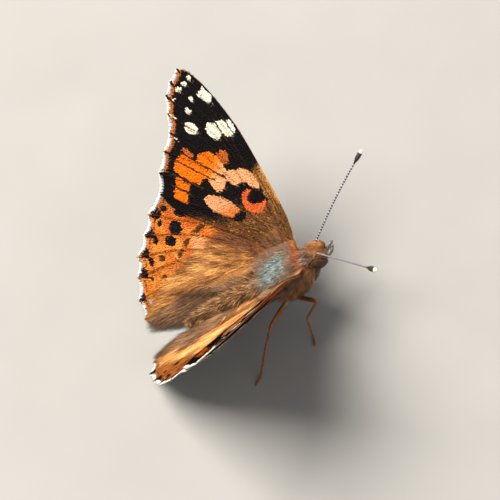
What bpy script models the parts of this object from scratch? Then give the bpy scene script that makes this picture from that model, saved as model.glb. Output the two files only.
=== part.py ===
"""A painted lady butterfly basking on the ground with its wings half raised, life size.

The animal is laid out level first, in body axes: X to its left, Y towards its tail, Z up, with the
middle of the thorax at the origin. One empty then tilts it head up and raises it, so that its four
walking feet stand on the floor at Z = 0, under the middle of the whole animal's box.
"""

import math

import bmesh
import bpy
from mathutils import Matrix, Vector

# Lengths are written in millimetres, and a mesh is scaled to metres when it is made
MM = 0.001

# Stance: the body's tilt, and where the middle of the thorax is held over the floor
PITCH = math.radians(27.0)
BODY_SIDE = -1.579
BODY_BACK = -4.129
BODY_HEIGHT = 8.3

# The sheet that both wings of a side lie in. It leaves the hinge line at its root slope and bends to its
# outer slope, each given in degrees at some rays: directions from the root, in degrees behind the hinge's
# square. The left wings are dished, and the right ones, held higher at the root, arch over
HINGE_SIDE = 2.3
HINGE_BACK = -2.0
HINGE_UP = 2.0
SHEET_RAYS = (-12.0, 20.0, 42.0, 70.0)
NEAREST_RAY = 1.0
ROOT_SLOPE = {"left": (5.0, 6.0, 8.0, 8.0), "right": (59.2, 45.7, 47.4, 29.5)}
OUTER_SLOPE = {"left": (44.5, 44.0, 43.5, 43.5), "right": (49.1, 44.6, 40.0, 36.1)}
BEND_WIDTH = {"left": 8.0, "right": 10.8}
REAR_RISE = {"left": math.radians(3.9), "right": math.radians(2.0)}
FOREWING_SWEEP = {"left": math.radians(0.3), "right": math.radians(-3.0)}
WING_THICKNESS = 0.5
HINDWING_LIFT = -0.82

# Forewing: each vein's end as degrees behind the wing's long axis and distance from the root
FOREWING_VEINS = {
    "R4": (0.2, 28.8),
    "R5": (4.3, 27.8),
    "M1": (8.1, 26.6),
    "M2": (11.9, 24.7),
    "M3": (16.4, 22.7),
    "CuA1": (23.8, 21.8),
    "CuA2": (32.5, 21.0),
    "2A": (40.9, 20.0),
}
FOREWING_FRONT = [(0.0, -0.7), (5.0, -1.1), (11.0, -1.7), (18.0, -2.3), (24.0, -1.95), (27.4, -1.1)]
FOREWING_REAR = [(11.6, 12.0), (5.5, 6.9), (0.3, 1.4)]
FOREWING_SCALLOP = 0.22

# Hindwing, in the same way, from its own root
HINDWING_VEINS = {
    "Sc": (11.5, 18.0),
    "Rs": (28.2, 18.8),
    "M1": (45.8, 19.2),
    "M2": (55.3, 19.6),
    "M3": (64.3, 20.9),
    "CuA1": (72.6, 21.7),
    "CuA2": (80.5, 22.6),
    "2A": (87.6, 22.4),
}
HINDWING_BACK = 2.8
HINDWING_FRONT = [(0.7, 0.2), (3.0, -0.3), (9.0, 0.9), (15.0, 2.6)]
HINDWING_REAR = [(-0.2, 21.0), (-0.8, 19.0), (-1.6, 16.0), (-1.5, 12.0), (-1.2, 8.0), (-0.4, 4.5), (0.6, 2.4)]
HINDWING_SCALLOP = 0.38

# The hindwing's inner fold: it creases along a line bowed out from the hinge line, between two places
# behind its root. The left one hangs beside the abdomen, steeply in front and less so behind; the right
# one, whose wing is held higher, lies nearly level towards the abdomen, gathered to a share of its width
CREASE_BOW = 1.25
CREASE_SPAN = (4.0, 23.0)
FOLD_SLOPE = {"left": (86.0, 50.0), "right": (30.0, 5.0)}
FOLD_SLOPE_SPAN = {"left": (6.0, 16.0), "right": (4.0, 9.0)}
FOLD_SHARE = {"left": 1.0, "right": 0.7}
FOLD_RADIUS = 0.8

# How finely the wings are divided
MARGIN_STEPS = 4
EDGE_STEPS = 4
SLOPE_STEPS = 30
STRIP = 1.6
FOLD_CUTS = (1.2, 0.8, 0.4, -0.4)

# Body stations: distance behind the middle, half width, half height, height of the centre
HEAD_STATIONS = [
    (-6.75, 0.35, 0.40, 0.75),
    (-6.35, 0.90, 1.00, 0.75),
    (-5.30, 1.30, 1.45, 0.75),
    (-4.15, 1.05, 1.20, 0.55),
]
THORAX_STATIONS = [
    (-3.85, 1.10, 1.20, 0.45),
    (-2.90, 1.95, 1.85, 0.25),
    (-1.40, 2.55, 2.70, -0.20),
    (0.40, 2.65, 3.15, -0.50),
    (2.20, 2.25, 3.05, -0.70),
    (3.45, 1.75, 2.20, -0.35),
]
ABDOMEN_STATIONS = [
    (3.80, 1.55, 1.60, 0.20),
    (5.80, 1.85, 1.95, 0.35),
    (8.90, 1.90, 2.00, 0.72),
    (12.10, 1.65, 1.70, 1.15),
    (14.80, 1.15, 1.15, 1.60),
    (16.60, 0.40, 0.45, 1.90),
]
BODY_SIDES = 20
STATION_STEPS = 4
ABDOMEN_SEGMENTS = 8
RING_SWELL = 0.05

# Head parts, on the left; the right ones mirror them
EYE_CENTRE = (1.28, -5.3, 0.85)
EYE_RADII = (0.72, 1.20, 1.15)
SOCKET_GAP = 0.3
PALP_PATH = [(0.52, -7.05, 0.05), (0.50, -7.65, 0.45), (0.36, -8.3, 1.25)]
PALP_RADII = [0.34, 0.38, 0.25]
ANTENNA_BASE = (0.62, -6.0, 2.35)
ANTENNA_LENGTH = 14.6
ANTENNA_SPREAD = {"left": math.radians(31.0), "right": math.radians(41.0)}
ANTENNA_RISE = {"left": math.radians(11.0), "right": math.radians(11.0)}
ANTENNA_BOW = 0.35
SHAFT_RADIUS = 0.25
CLUB_RADIUS = 0.48
CLUB_LENGTH = 2.4

# Legs, on the right: body axes for root, knee and ankle, and for the toe its place on the floor,
# from the point under the thorax
LEG_JOINTS = {
    "midleg": [(-2.25, 1.4, -3.25), (-4.5, -1.9, -2.1), (-4.6, 1.9, -4.3)],
    "hindleg": [(-1.7, 3.4, -3.0), (-5.0, 5.5, -0.9), (-7.6, 8.0, -1.9)],
}
LEG_TOES = {"midleg": (-7.0, -0.15), "hindleg": (-10.55, 8.7)}
LEFT_STEP = {"midleg": -0.6, "hindleg": 0.8}
LEG_RADII = {"femur": (0.48, 0.40, 0.32), "tibia": (0.31, 0.28, 0.27), "tarsus": (0.26, 0.25, 0.25)}
TOE_RADIUS = 0.25
SOLE_LENGTH = 1.3
SOLE_PRESS = 0.06
JOINT_GAP = 0.3
FORELEG_PATH = [(0.85, -1.5, -2.75), (0.95, -2.7, -1.85), (0.75, -3.95, -1.0)]
FORELEG_RADII = [0.30, 0.36, 0.26]
TUBE_SIDES = 8

SIDES = {"left": 1.0, "right": -1.0}

MATERIALS = {
    "forewing": ((0.42, 0.13, 0.035), 0.60),
    "hindwing": ((0.62, 0.24, 0.06), 0.62),
    "fur": ((0.22, 0.13, 0.075), 0.85),
    "eye": ((0.05, 0.025, 0.015), 0.20),
    "palp": ((0.55, 0.53, 0.50), 0.80),
    "antenna": ((0.09, 0.06, 0.045), 0.55),
    "leg": ((0.48, 0.28, 0.12), 0.55),
}


def clear_scene():
    for old in list(bpy.data.objects):
        bpy.data.objects.remove(old, do_unlink=True)


def make_materials():
    made = {}
    for name, (colour, roughness) in MATERIALS.items():
        material = bpy.data.materials.new(name)
        material.use_nodes = True
        shader = material.node_tree.nodes["Principled BSDF"]
        shader.inputs["Base Color"].default_value = (*colour, 1.0)
        shader.inputs["Roughness"].default_value = roughness
        shader.inputs["Metallic"].default_value = 0.0
        made[name] = material
    return made


def make_body_axes():
    """The empty that carries every piece: it tilts the level animal and raises it."""
    axes = bpy.data.objects.new("body_axes", None)
    axes.location = (BODY_SIDE * MM, BODY_BACK * MM, BODY_HEIGHT * MM)
    axes.rotation_euler = (-PITCH, 0.0, 0.0)
    bpy.context.scene.collection.objects.link(axes)
    return axes


def standing():
    """From body axes to the floor's axes, in millimetres from the point under the thorax."""
    return Matrix.Translation((0.0, 0.0, BODY_HEIGHT)) @ Matrix.Rotation(-PITCH, 4, "X")


def add_piece(name, shape, material, axes, origin=(0.0, 0.0, 0.0)):
    """Makes an object from a bmesh in millimetres and body axes, with its own origin."""
    bmesh.ops.recalc_face_normals(shape, faces=shape.faces[:])
    if shape.calc_volume(signed=True) < 0.0:
        bmesh.ops.reverse_faces(shape, faces=shape.faces[:])
    bmesh.ops.translate(shape, verts=shape.verts[:], vec=-Vector(origin))
    bmesh.ops.scale(shape, verts=shape.verts[:], vec=(MM, MM, MM))
    mesh = bpy.data.meshes.new(name)
    shape.to_mesh(mesh)
    shape.free()
    mesh.shade_smooth()
    mesh.set_sharp_from_angle(angle=math.radians(50))
    piece = bpy.data.objects.new(name, mesh)
    piece.data.materials.append(material)
    piece.parent = axes
    piece.location = Vector(origin) * MM
    bpy.context.scene.collection.objects.link(piece)
    return piece


def press_to_floor(shape):
    """Flattens onto the floor whatever would reach below it, which leaves a small level flat."""
    stand = standing()
    back = stand.inverted()
    for vertex in shape.verts:
        placed = stand @ vertex.co
        if placed.z < 0.0:
            placed.z = 0.0
            vertex.co = back @ placed


def curve_through(points, steps):
    """Points along a smooth curve that passes through each given point."""
    knots = [Vector(point) for point in points]
    knots = [2.0 * knots[0] - knots[1]] + knots + [2.0 * knots[-1] - knots[-2]]
    made = []
    for before, start, end, after in zip(knots, knots[1:], knots[2:], knots[3:]):
        for step in range(steps):
            t = step / steps
            made.append(
                0.5
                * (
                    2.0 * start
                    + (end - before) * t
                    + (2.0 * before - 5.0 * start + 4.0 * end - after) * t**2
                    + (3.0 * start - before - 3.0 * end + after) * t**3
                )
            )
    made.append(knots[-2])
    return made


def ease(share):
    share = min(max(share, 0.0), 1.0)
    return share * share * (3.0 - 2.0 * share)


def at_ray(ray, values):
    """The value at a ray, in proportion between those given at the sheet's rays."""
    for low, high, start, end in zip(SHEET_RAYS, SHEET_RAYS[1:], values, values[1:]):
        if ray <= high:
            return start + (end - start) * max(ray - low, 0.0) / (high - low)
    return values[-1]


def ray_to(out, back):
    """The ray of a place, taken at least a little way out, where the rays crowd together."""
    return math.degrees(math.atan2(back, max(out, NEAREST_RAY)))


def slope_at(distance, ray, side):
    """The sheet's slope in radians, this far out along a ray."""
    root = at_ray(ray, ROOT_SLOPE[side])
    outer = at_ray(ray, OUTER_SLOPE[side])
    return math.radians(root + (outer - root) * ease(distance / BEND_WIDTH[side]))


def on_sheet(out, back, lift, side):
    """A point of the wings' sheet, out from the hinge line and back from the forewing's root."""
    ray = ray_to(out, back)
    slopes = [slope_at(out * (step + 0.5) / SLOPE_STEPS, ray, side) for step in range(SLOPE_STEPS)]
    across = sum(math.cos(slope) for slope in slopes) * out / SLOPE_STEPS
    up = sum(math.sin(slope) for slope in slopes) * out / SLOPE_STEPS
    here = slope_at(out, ray, side)
    return Vector(
        (
            SIDES[side] * (HINGE_SIDE + across - lift * math.sin(here)),
            HINGE_BACK + back * math.cos(REAR_RISE[side]),
            HINGE_UP + up + lift * math.cos(here) + back * math.sin(REAR_RISE[side]),
        )
    )


def crease_out(back):
    """How far out from the hinge line the hindwing creases, at a place behind its root."""
    start, end = CREASE_SPAN
    share = min(max((back - start) / (end - start), 0.0), 1.0)
    return CREASE_BOW * math.sin(math.pi * share)


def fold_slope(back, side):
    steepest, gentlest = FOLD_SLOPE[side]
    start, end = FOLD_SLOPE_SPAN[side]
    return math.radians(steepest + (gentlest - steepest) * ease((back - start) / (end - start)))


def on_hindwing(out, back, through, side):
    """A point of the hindwing, out from the hinge line and back from its own root."""
    crease = crease_out(back)
    behind = HINDWING_BACK + back
    if out >= crease:
        return on_sheet(out, behind, HINDWING_LIFT + through, side)
    edge = on_sheet(crease, behind, HINDWING_LIFT, side)
    first_turn = slope_at(crease, ray_to(crease, behind), side)
    depth = (crease - out) * FOLD_SHARE[side]
    bend = fold_slope(back, side) - first_turn
    radius = math.copysign(FOLD_RADIUS, bend)
    turn = first_turn + math.copysign(min(abs(bend), depth / FOLD_RADIUS), bend)
    straight = depth - (turn - first_turn) * radius
    inward = radius * (math.sin(turn) - math.sin(first_turn)) + straight * math.cos(turn)
    down = radius * (math.cos(first_turn) - math.cos(turn)) + straight * math.sin(turn)
    inward += through * math.sin(turn)
    down -= through * math.cos(turn)
    return edge - Vector((SIDES[side] * inward, 0.0, down))


def vein_end(entry):
    angle, length = entry
    return Vector((length * math.cos(math.radians(angle)), length * math.sin(math.radians(angle))))


def wing_outline(front, veins, rear, scallop):
    """The front edge, the scalloped outer margin from vein end to vein end, and the rear edge."""
    ends = [vein_end(entry) for entry in veins.values()]
    outline = curve_through(front + [tuple(ends[0])], EDGE_STEPS)
    for start, end in zip(ends, ends[1:]):
        inward = -(start + end).normalized()
        for step in range(1, MARGIN_STEPS + 1):
            t = step / MARGIN_STEPS
            outline.append(start.lerp(end, t) + inward * scallop * math.sin(math.pi * t))
    return outline + curve_through([tuple(ends[-1])] + rear, EDGE_STEPS)[1:]


def cut_along(plan, axis, places):
    """Cuts the flat wing straight across at each place on an axis, so that it can bend."""
    normal = Vector((0.0, 0.0, 0.0))
    normal[axis] = 1.0
    for place in places:
        geometry = plan.verts[:] + plan.edges[:] + plan.faces[:]
        bmesh.ops.bisect_plane(plan, geom=geometry, plane_co=normal * place, plane_no=normal)


def strip_places(outline, axis):
    """Evenly spaced places for cuts along the whole outline."""
    low = min(point[axis] for point in outline)
    high = max(point[axis] for point in outline)
    return [low + number * STRIP for number in range(1, math.ceil((high - low) / STRIP))]


def add_wing(name, side, outline, extra_cuts, bend, material, axes):
    """A wing: its flat outline, cut into strips, thickened, and bent to its shape on that side."""
    plan = bmesh.new()
    plan.faces.new([plan.verts.new((point.x, point.y, 0.0)) for point in outline])
    for axis in (0, 1):
        cut_along(plan, axis, strip_places(outline, axis))
    cut_along(plan, 0, extra_cuts)
    bmesh.ops.triangulate(plan, faces=plan.faces[:])
    bmesh.ops.solidify(plan, geom=plan.faces[:], thickness=WING_THICKNESS)
    lowest = min(vertex.co.z for vertex in plan.verts)
    for vertex in plan.verts:
        through = vertex.co.z - lowest - WING_THICKNESS / 2.0
        vertex.co = bend(vertex.co.x, vertex.co.y, through, side)
    press_to_floor(plan)
    return add_piece(name, plan, material, axes, bend(0.0, 0.0, 0.0, side))


def add_wings(side, materials, axes):
    sweep = Matrix.Rotation(FOREWING_SWEEP[side], 2)
    forewing = wing_outline(FOREWING_FRONT, FOREWING_VEINS, FOREWING_REAR, FOREWING_SCALLOP)
    forewing = [sweep @ point for point in forewing]
    hindwing = wing_outline(HINDWING_FRONT, HINDWING_VEINS, HINDWING_REAR, HINDWING_SCALLOP)
    add_wing(f"forewing_{side}", side, forewing, (), on_sheet, materials["forewing"], axes)
    add_wing(f"hindwing_{side}", side, hindwing, FOLD_CUTS, on_hindwing, materials["hindwing"], axes)


def loft(rings):
    """One closed body through rings of equal count, with a flat cap at each end."""
    shape = bmesh.new()
    made = [[shape.verts.new(point) for point in ring] for ring in rings]
    for near, far in zip(made, made[1:]):
        for a in range(len(near)):
            b = (a + 1) % len(near)
            shape.faces.new((near[a], near[b], far[b], far[a]))
    shape.faces.new(made[0][::-1])
    shape.faces.new(made[-1])
    return shape


def body_ring(station):
    back, half_width, half_height, centre = station
    turns = [2.0 * math.pi * number / BODY_SIDES for number in range(BODY_SIDES)]
    return [
        Vector((half_width * math.cos(turn), back, centre + half_height * math.sin(turn)))
        for turn in turns
    ]


def smooth_stations(stations, segments):
    """Stations along a smooth curve, with a slight swell in each of the segments."""
    made = []
    lengthwise = curve_through([station[:3] for station in stations], STATION_STEPS)
    heights = curve_through([(station[0], station[3], 0.0) for station in stations], STATION_STEPS)
    first, last = stations[0][0], stations[-1][0]
    for (back, half_width, half_height), (_, centre, _) in zip(lengthwise, heights):
        wave = math.sin(math.pi * segments * (back - first) / (last - first))
        swell = 1.0 + RING_SWELL * abs(wave)
        made.append((back, half_width * swell, half_height * swell, centre))
    return made


def eyeball(radii, side):
    shape = bmesh.new()
    bmesh.ops.create_icosphere(shape, subdivisions=3, radius=1.0)
    bmesh.ops.scale(shape, verts=shape.verts[:], vec=radii)
    centre = Vector((SIDES[side] * EYE_CENTRE[0], EYE_CENTRE[1], EYE_CENTRE[2]))
    bmesh.ops.translate(shape, verts=shape.verts[:], vec=centre)
    return shape


def cut_from(piece, cutter, name):
    cutter.hide_render = True
    cutter.display_type = "WIRE"
    cut = piece.modifiers.new(name, "BOOLEAN")
    cut.operation = "DIFFERENCE"
    cut.object = cutter


def trunk_part(name, stations, segments, material, axes):
    rings = [body_ring(station) for station in smooth_stations(stations, segments)]
    return add_piece(name, loft(rings), material, axes)


def add_trunk(materials, axes):
    """Head, thorax and abdomen, with hollows in the head for the eyes and in the chest for the forelegs."""
    head = trunk_part("head", HEAD_STATIONS, 0, materials["fur"], axes)
    thorax = trunk_part("thorax", THORAX_STATIONS, 0, materials["fur"], axes)
    trunk_part("abdomen", ABDOMEN_STATIONS, ABDOMEN_SEGMENTS, materials["fur"], axes)
    for side in SIDES:
        add_piece(f"eye_{side}", eyeball(EYE_RADII, side), materials["eye"], axes)
        socket = eyeball([radius + SOCKET_GAP for radius in EYE_RADII], side)
        cut_from(head, add_piece(f"socket_{side}", socket, materials["eye"], axes), f"socket {side}")
        add_piece(f"foreleg_{side}", foreleg_shape(0.0, side), materials["fur"], axes)
        bed = add_piece(f"bed_{side}", foreleg_shape(SOCKET_GAP, side), materials["fur"], axes)
        cut_from(thorax, bed, f"bed {side}")


def ring_round(centre, tangent, radius, towards):
    """One ring of a tube, square to the tangent, with its first point on the given side."""
    first = (towards - tangent * towards.dot(tangent)).normalized()
    second = tangent.cross(first)
    turns = [2.0 * math.pi * number / TUBE_SIDES for number in range(TUBE_SIDES)]
    return [centre + radius * (math.cos(turn) * first + math.sin(turn) * second) for turn in turns]


def tube(path, radii, start_tangent=None, end_tangent=None):
    """A round tube along a path. An end with no tangent of its own is slightly rounded."""
    points = [Vector(point) for point in path]
    along = [(b - a).normalized() for a, b in zip(points, points[1:])]
    tangents = [start_tangent or along[0]]
    tangents += [(a + b).normalized() for a, b in zip(along, along[1:])]
    tangents += [end_tangent or along[-1]]
    towards = tangents[0].orthogonal()
    rings = []
    for point, tangent, radius in zip(points, tangents, radii):
        ring = ring_round(point, tangent, radius, towards)
        towards = ring[0] - point
        rings.append(ring)
    if start_tangent is None:
        nose = points[0] - along[0] * radii[0] * 0.5
        rings.insert(0, [nose + (spot - points[0]) * 0.6 for spot in rings[0]])
    if end_tangent is None:
        nose = points[-1] + along[-1] * radii[-1] * 0.5
        rings.append([nose + (spot - points[-1]) * 0.6 for spot in rings[-1]])
    return loft(rings)


def mirrored(point, side):
    """A point given for the left, on the named side."""
    return Vector((SIDES[side] * point[0], point[1], point[2]))


def smooth_tube(path, radii, steps):
    radius_knots = [(radius, 0.0, 0.0) for radius in radii]
    return tube(curve_through(path, steps), [knot.x for knot in curve_through(radius_knots, steps)])


def add_palp(side, material, axes):
    path = [mirrored(point, side) for point in PALP_PATH]
    add_piece(f"palp_{side}", smooth_tube(path, PALP_RADII, 3), material, axes)


def add_antenna(side, material, axes):
    """A feeler: a slender, slightly bowed shaft that swells into a club."""
    base = mirrored(ANTENNA_BASE, side)
    spread, rise = ANTENNA_SPREAD[side], ANTENNA_RISE[side]
    forward = Vector(
        (SIDES[side] * math.cos(rise) * math.sin(spread), -math.cos(rise) * math.cos(spread), math.sin(rise))
    )
    steps = 14
    path = []
    radii = []
    for step in range(steps + 1):
        share = step / steps
        bow = Vector((0.0, 0.0, ANTENNA_BOW * math.sin(math.pi * share)))
        path.append(base + forward * ANTENNA_LENGTH * share + bow)
        in_club = (share - 1.0) * ANTENNA_LENGTH / CLUB_LENGTH + 1.0
        radii.append(SHAFT_RADIUS + (CLUB_RADIUS - SHAFT_RADIUS) * ease(in_club * 1.6))
    radii[-1] = CLUB_RADIUS * 0.75
    add_piece(f"antenna_{side}", tube(path, radii), material, axes, base)


def foreleg_shape(gap, side):
    """The short brush foot that a painted lady keeps folded against its chest, or its bed with a gap."""
    path = [mirrored(point, side) for point in FORELEG_PATH]
    return smooth_tube(path, [radius + gap for radius in FORELEG_RADII], 3)


def floor_point(x, y, height):
    return standing().inverted() @ Vector((x, y, height))


def leg_shapes(root, knee, ankle, toe):
    """Femur, tibia and tarsus, parted at the knee and the ankle by a thin flat cut."""
    stand = standing()
    step_out = stand @ ankle
    step_out = Vector((toe[0] - step_out.x, toe[1] - step_out.y, 0.0)).normalized() * SOLE_LENGTH
    height = TOE_RADIUS - SOLE_PRESS
    tip = floor_point(toe[0], toe[1], height)
    heel = floor_point(toe[0] - step_out.x, toe[1] - step_out.y, height)
    upper, middle, lower = [(b - a).normalized() for a, b in ((root, knee), (knee, ankle), (ankle, heel))]
    knee_cut = (upper + middle).normalized()
    ankle_cut = (middle + lower).normalized()
    half_gap = JOINT_GAP / 2.0
    above_knee, below_knee = knee - knee_cut * half_gap, knee + knee_cut * half_gap
    above_ankle, below_ankle = ankle - ankle_cut * half_gap, ankle + ankle_cut * half_gap
    femur = tube([root, root.lerp(above_knee, 0.5), above_knee], LEG_RADII["femur"], None, knee_cut)
    tibia = tube(
        [below_knee, below_knee.lerp(above_ankle, 0.5), above_ankle],
        LEG_RADII["tibia"],
        knee_cut,
        ankle_cut,
    )
    foot_path = [below_ankle, below_ankle.lerp(heel, 0.6), heel, heel.lerp(tip, 0.5), tip]
    foot = tube(foot_path, (*LEG_RADII["tarsus"], TOE_RADIUS, TOE_RADIUS * 0.9), ankle_cut)
    press_to_floor(foot)
    return {"femur": femur, "tibia": tibia, "tarsus": foot}


def add_leg(name, side, material, axes):
    root, knee, ankle = [mirrored((-x, y, z), side) for x, y, z in LEG_JOINTS[name]]
    x, y = LEG_TOES[name]
    step = LEFT_STEP[name] if side == "left" else 0.0
    for part, shape in leg_shapes(root, knee, ankle, (-x * SIDES[side], y + step)).items():
        add_piece(f"{name}_{side}_{part}", shape, material, axes)


def main():
    clear_scene()
    materials = make_materials()
    axes = make_body_axes()
    add_trunk(materials, axes)
    for side in SIDES:
        add_wings(side, materials, axes)
        add_palp(side, materials["palp"], axes)
        add_antenna(side, materials["antenna"], axes)
        for name in LEG_JOINTS:
            add_leg(name, side, materials["leg"], axes)


main()
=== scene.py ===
"""The looks of a painted lady butterfly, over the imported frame: skin, eyes, feelers, wings, scales, fur.

Lengths are in millimetres and body axes, as in the frame's own source: X to the animal's left, Y towards its
tail, Z up, with the middle of the thorax at the origin. A wing is drawn flat first, X out from its root and Y
towards the tail, and then bent. Colours are kept as the display shows them, from 0 to 1.
"""

import math

import bmesh
import bpy
import numpy as np
from mathutils import Euler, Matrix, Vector


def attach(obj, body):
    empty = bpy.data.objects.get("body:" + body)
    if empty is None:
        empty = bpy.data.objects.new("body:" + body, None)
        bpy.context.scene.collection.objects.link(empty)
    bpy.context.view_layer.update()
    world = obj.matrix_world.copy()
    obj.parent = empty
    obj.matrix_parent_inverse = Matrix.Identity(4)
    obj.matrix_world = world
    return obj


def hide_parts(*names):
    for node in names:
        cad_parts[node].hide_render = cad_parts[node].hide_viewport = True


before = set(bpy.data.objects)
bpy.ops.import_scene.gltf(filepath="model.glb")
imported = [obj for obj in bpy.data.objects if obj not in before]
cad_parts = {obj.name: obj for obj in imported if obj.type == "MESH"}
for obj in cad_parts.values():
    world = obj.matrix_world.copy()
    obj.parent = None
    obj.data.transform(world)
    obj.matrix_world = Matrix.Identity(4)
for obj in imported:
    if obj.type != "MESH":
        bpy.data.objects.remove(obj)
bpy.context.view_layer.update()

MM = 0.001
SIDES = {"left": 1.0, "right": -1.0}
SEED = 20

# The stance and the wings' sheet, as in the frame's source
PITCH = math.radians(27.0)
BODY_SIDE = -1.579
BODY_BACK = -4.129
BODY_HEIGHT = 8.3
HINGE_SIDE = 2.3
HINGE_BACK = -2.0
HINGE_UP = 2.0
SHEET_RAYS = (-12.0, 20.0, 42.0, 70.0)
NEAREST_RAY = 1.0
ROOT_SLOPE = {"left": (5.0, 6.0, 8.0, 8.0), "right": (59.2, 45.7, 47.4, 29.5)}
OUTER_SLOPE = {"left": (44.5, 44.0, 43.5, 43.5), "right": (49.1, 44.6, 40.0, 36.1)}
BEND_WIDTH = {"left": 8.0, "right": 10.8}
REAR_RISE = {"left": math.radians(3.9), "right": math.radians(2.0)}
FOREWING_SWEEP = {"left": math.radians(0.3), "right": math.radians(-3.0)}
SLOPE_STEPS = 24

# Where the two wings' own sheets lie: close together, each inside its thicker solid of the frame
FOREWING_LIFT = -0.03
HINDWING_LIFT = -0.46
MEMBRANE = 0.08

# Each vein of a wing: its end's bearing in degrees and distance from the root, and where it leaves the cell
FOREWING_VEINS = {
    "R4": (0.2, 28.8, (13.6, -0.4)),
    "R5": (4.3, 27.8, (13.6, -0.2)),
    "M1": (8.1, 26.6, (13.6, 0.2)),
    "M2": (11.9, 24.7, (13.4, 1.6)),
    "M3": (16.4, 22.7, (13.0, 2.9)),
    "CuA1": (23.8, 21.8, (12.8, 3.4)),
    "CuA2": (32.5, 21.0, (7.0, 3.1)),
    "2A": (40.9, 20.0, (0.6, 0.9)),
}
FOREWING_FRONT = [(0.0, -0.7), (5.0, -1.1), (11.0, -1.7), (18.0, -2.3), (24.0, -1.95), (27.4, -1.1)]
FOREWING_REAR = [(11.6, 12.0), (5.5, 6.9), (0.3, 1.4)]
FOREWING_SCALLOP = 0.22

HINDWING_VEINS = {
    "Sc": (11.5, 18.0, (1.5, 0.6)),
    "Rs": (28.2, 18.8, (4.2, 2.8)),
    "M1": (45.8, 19.2, (5.4, 4.6)),
    "M2": (55.3, 19.6, (5.6, 6.2)),
    "M3": (64.3, 20.9, (4.9, 8.2)),
    "CuA1": (72.6, 21.7, (4.6, 8.4)),
    "CuA2": (80.5, 22.6, (2.6, 6.4)),
    "2A": (87.6, 22.4, (0.7, 1.6)),
}
HINDWING_BACK = 2.8
HINDWING_FRONT = [(0.7, 0.2), (3.0, -0.3), (9.0, 0.9), (15.0, 2.6)]
HINDWING_REAR = [(-0.2, 21.0), (-0.8, 19.0), (-1.6, 16.0), (-1.5, 12.0), (-1.2, 8.0), (-0.4, 4.5), (0.6, 2.4)]
HINDWING_SCALLOP = 0.38
CREASE_BOW = 1.25
CREASE_SPAN = (4.0, 23.0)
FOLD_SLOPE = {"left": (86.0, 50.0), "right": (30.0, 5.0)}
FOLD_SLOPE_SPAN = {"left": (6.0, 16.0), "right": (4.0, 9.0)}
FOLD_SHARE = {"left": 1.0, "right": 0.7}
FOLD_RADIUS = 0.8

# A wing's drawing, and its relief: raised veins, and the pleats that sink between them. A vein that starts
# beyond STEM_FROM is joined to the root by a straight stem
WING_ROOT = np.array((0.5, 0.5))
OUTLINE_STEPS = 14
VEIN_STEPS = 5
VEIN_BOW = 0.04
VEIN_HEIGHT = 0.075
VEIN_WIDTH = 0.16
STEM_FROM = 3.0
PLEAT_DEPTH = 0.05
PLEAT_WIDTH = 0.8
WING_RINGS = 46
RIM_INSET = 0.12

# Wing scales: their spacing out and back, their length and width, and how far they run on under the hair
SCALE_SPACING = {"above": (0.21, 0.135), "below": (0.30, 0.19)}
SCALE_SIZE = {"above": (0.34, 0.18), "below": (0.46, 0.26)}
SCALES_UNDER_HAIR = 3.5

# How many hairs are drawn in each place, before those outside it are dropped, and the fringe's spacing
HAIRS = {
    "hindwing": 46000,
    "forewing": 9000,
    "forewing_root": 1500,
    "joining": 1000,
    "shoulder": 5500,
    "hindwing_root": 4000,
    "eye_rim": 900,
}
FRINGE_GAP = 0.014

# The knots of a hair, and of one in the fringe, as shares of its length, and its radius at each as a share
HAIR_KNOTS = (0.0, 0.5, 1.0)
FRINGE_KNOTS = (0.0, 0.6, 1.0)
HAIR_TAPER = np.array((0.9, 1.0, 0.0))

# Body stations, as in the frame's source, with a neck and a waist that join the three parts in one skin:
# distance behind the middle, half width, half height, height of the centre
BODY_STATIONS = [
    (-6.75, 0.35, 0.40, 0.75),
    (-6.35, 0.90, 1.00, 0.75),
    (-5.30, 1.30, 1.45, 0.75),
    (-4.25, 1.05, 1.15, 0.55),
    (-3.75, 1.10, 1.20, 0.45),
    (-2.90, 1.95, 1.85, 0.25),
    (-1.40, 2.55, 2.70, -0.20),
    (0.40, 2.65, 3.15, -0.50),
    (2.20, 2.25, 3.05, -0.70),
    (3.55, 1.65, 1.95, -0.10),
    (5.80, 1.85, 1.95, 0.35),
    (8.90, 1.90, 2.00, 0.72),
    (12.10, 1.65, 1.70, 1.15),
    (14.80, 1.15, 1.15, 1.60),
    (16.60, 0.40, 0.45, 1.90),
]
EYE_CENTRE = (1.28, -5.3, 0.85)
EYE_RADII = (0.72, 1.20, 1.15)
PALP_PATH = [(0.50, -6.4, 0.05), (0.45, -7.45, 0.55), (0.33, -8.35, 1.3)]
PALP_RADII = [0.24, 0.20, 0.05]
ANTENNA_BASE = (0.62, -6.0, 2.1)
ANTENNA_LENGTH = 14.6
ANTENNA_SPREAD = {"left": math.radians(31.0), "right": math.radians(41.0)}
ANTENNA_RISE = math.radians(11.0)
ANTENNA_BOW = 0.35
ANTENNA_RADIUS = 0.105
ANTENNA_SEGMENTS = 36.0
ANTENNA_RINGS = 230
ANTENNA_SIDES = 14
CLUB_RADIUS = 0.24
CLUB_WIDEST = 0.94
LEG_JOINTS = {
    "midleg": [(-2.0, 1.4, -2.9), (-4.5, -1.9, -2.1), (-4.6, 1.9, -4.3)],
    "hindleg": [(-1.5, 3.2, -2.6), (-5.0, 5.5, -0.9), (-7.6, 8.0, -1.9)],
}
LEG_TOES = {"midleg": (-7.0, -0.15), "hindleg": (-10.55, 8.7)}
LEFT_STEP = {"midleg": -0.6, "hindleg": 0.8}
LEG_RADII = [
    (0.36, 0.34, 0.26, 0.17),
    (0.18, 0.16, 0.15, 0.17),
    (0.13, 0.15, 0.12, 0.14),
    (0.13, 0.12, 0.12, 0.09),
]
LEG_STEPS = (8, 8, 8, 6)
HEEL_TO_TOE = 1.3
HEEL_HEIGHT = 0.17
TOE_HEIGHT = 0.13
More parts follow.
